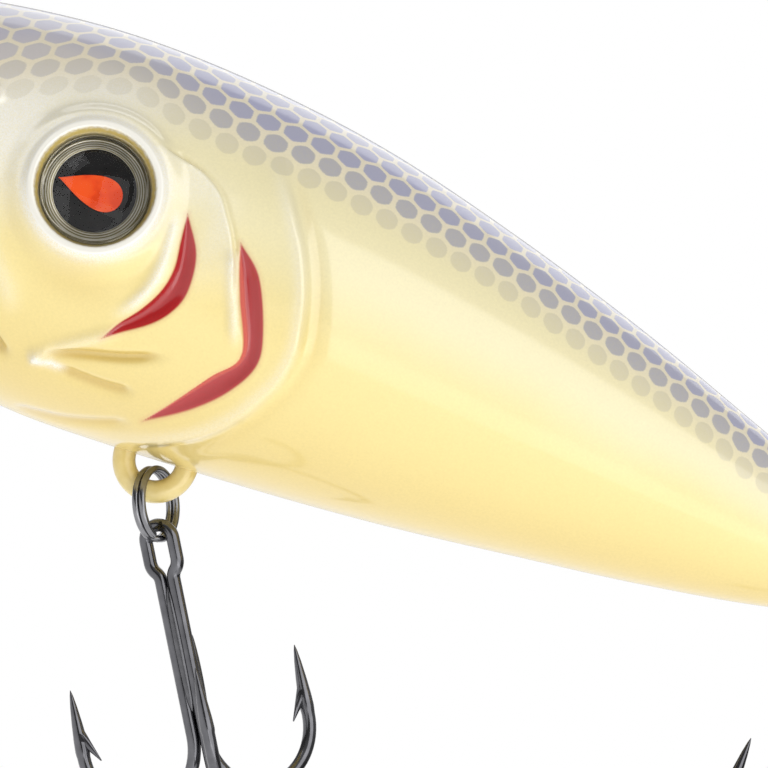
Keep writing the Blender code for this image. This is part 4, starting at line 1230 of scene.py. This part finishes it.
def barb(name, path, toward):
    """A sliver that rises from behind the point, on the side that faces the shank."""
    tip = path[-1]
    along = Vector((0, 0, -1))
    root = tip + along * (BARB_FROM_TIP - BARB_LENGTH)
    inward = -toward
    aim = (along * BARB_LENGTH + inward * BARB_HEIGHT).normalized()
    reach = math.hypot(BARB_LENGTH, BARB_HEIGHT)
    deselect()
    bpy.ops.mesh.primitive_cone_add(vertices=16, radius1=0.62 * MM, radius2=0.06 * MM, depth=reach)
    sliver = bpy.context.active_object
    sliver.name = name
    across_point = along.cross(inward).normalized()
    turn = Matrix((across_point * 0.7, aim.cross(across_point), aim)).transposed().to_4x4()
    sliver.data.transform(Matrix.Translation(root + aim * reach / 2) @ turn)
    sliver.data.update()
    deselect()
    return sliver


def joined(piece, others):
    """Unite a piece with others into one skin."""
    for other in others:
        union = piece.modifiers.new("union", "BOOLEAN")
        union.operation = "UNION"
        union.solver = "EXACT"
        union.object = other
        deselect()
        piece.select_set(True)
        bpy.context.view_layer.objects.active = piece
        bpy.ops.object.modifier_apply(modifier=union.name)
        bpy.data.objects.remove(other, do_unlink=True)
    bpy.ops.object.shade_smooth_by_angle(angle=math.radians(50))
    return piece


# %% Make and hang a treble
HOOK_TURNS = {1: 0.0, -1: math.radians(120)}
SINGLE_TURN = math.radians(240)
HOOK_LEANS = {"belly": (34, 118), "tail": (0, 90)}


def treble(stem, lean, turn):
    down = lean_direction(lean)
    front = lean_side(lean) * math.cos(turn) + TOWARDS_LEFT * math.sin(turn)
    low_point = ring_frames[stem] @ Vector((FRAME_RING_RADIUS, 0, 0))
    rise = FRAME_RING_WIRE / 2 + HOOK_WIRE + EYE_PLAY
    hung = frame_of(front.cross(-down), -down, low_point - down * rise)

    eye_radius = (HOOK_EYE_WIDTH + HOOK_WIRE) / 2
    straight = HOOK_EYE_LENGTH - HOOK_EYE_WIDTH
    top = eye_radius + straight / 2 + HOOK_WIRE / 2
    eye = [Vector((p.x, 0, p.y - top)) for p in eye_outline(eye_radius, SHANK_SPACING, HOOK_WIRE, straight)]
    sides = {}
    for side, turned_by in HOOK_TURNS.items():
        toward = Vector((math.cos(turned_by), math.sin(turned_by), 0))
        offset = Vector((side * SHANK_SPACING / 2, 0, 0))
        sides[side] = (*hook_path(offset, toward, -eye[0].z + HOOK_WIRE), toward)
    right_path, right_shares, _ = sides[1]
    left_path, left_shares, _ = sides[-1]
    path = right_path[::-1] + eye + left_path
    shares = right_shares[::-1] + [1.0] * len(eye) + left_shares
    double = wire(stem + "_double", path, HOOK_WIRE / 2, shares, sides=4)
    barbs = [barb("barb", points, toward) for points, _, toward in sides.values()]
    double = joined(double, barbs)

    toward = Vector((math.cos(SINGLE_TURN), math.sin(SINGLE_TURN), 0))
    groove = Vector((0, -SHANK_SPACING * math.sqrt(3) / 2, 0))
    points, shares = hook_path(groove, toward, SINGLE_START)
    single = joined(wire(stem + "_single", points, HOOK_WIRE / 2, shares, sides=4), [barb("barb", points, toward)])

    depth_of_eye = -eye[0].z / MM
    outer = SHANK_SPACING * 0.58
    runs = [(0, 0.3 * MM, depth_of_eye + 0.6, 17.5), (0, -SHANK_SPACING * 0.29, depth_of_eye + 0.6, 19.0)]
    runs += [(side * outer * 0.84, -outer, SINGLE_START / MM + 0.5, 18.5) for side in (1, -1)]
    fillets = []
    for x, y, first, last in runs:
        seam = [Vector((x, y, -depth * MM)) for depth in np.linspace(first, last, 14)]
        swell = [0.15 + 0.85 * math.sin(math.pi * share) ** 0.35 for share in np.linspace(0, 1, 14)]
        fillets.append(wire("fillet", seam, 0.47 * MM, swell, sides=3))
    braze = joined(fillets[0], fillets[1:])
    braze.name = stem + "_braze"

    for piece in (double, single, braze):
        piece.data.transform(hung)
    finish_piece(double, stem + "_treble", black_nickel, stem + "_treble_double")
    finish_piece(single, stem + "_treble", black_nickel, stem + "_treble_single")
    braze.data.materials.clear()
    braze.data.materials.append(solder)
    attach(braze, stem + "_treble")
    print(stem, "treble", len(double.data.polygons) + len(single.data.polygons), "faces")


for stem, (lean, turn) in HOOK_LEANS.items():
    treble(stem, math.radians(lean), math.radians(turn))

# %% [markdown]
# ## Inside the body
# Cast lead lies in the belly, and polished steel balls roll on their tracks. They are the frame's own
# pieces with a real finish: dull grey lead with a grainy skin, and bright bearing steel.

# %% Lead and steel
lead = plated("cast_lead", "#5C5D60", "#7C7D80", 0.55, 0.8)
bearing_steel = plated("polished_bearing_steel", "#B4B5B8", "#D6D7DA", 0.08, 3.0)
for node_name, material in {
    "front_ballast": lead,
    "rear_ballast": lead,
    "knocker_ball": bearing_steel,
    "rear_rattle_ball": bearing_steel,
    "front_rattle_ball": bearing_steel,
}.items():
    node = frame["nodes"][node_name]
    node.data.materials.clear()
    node.data.materials.append(material)
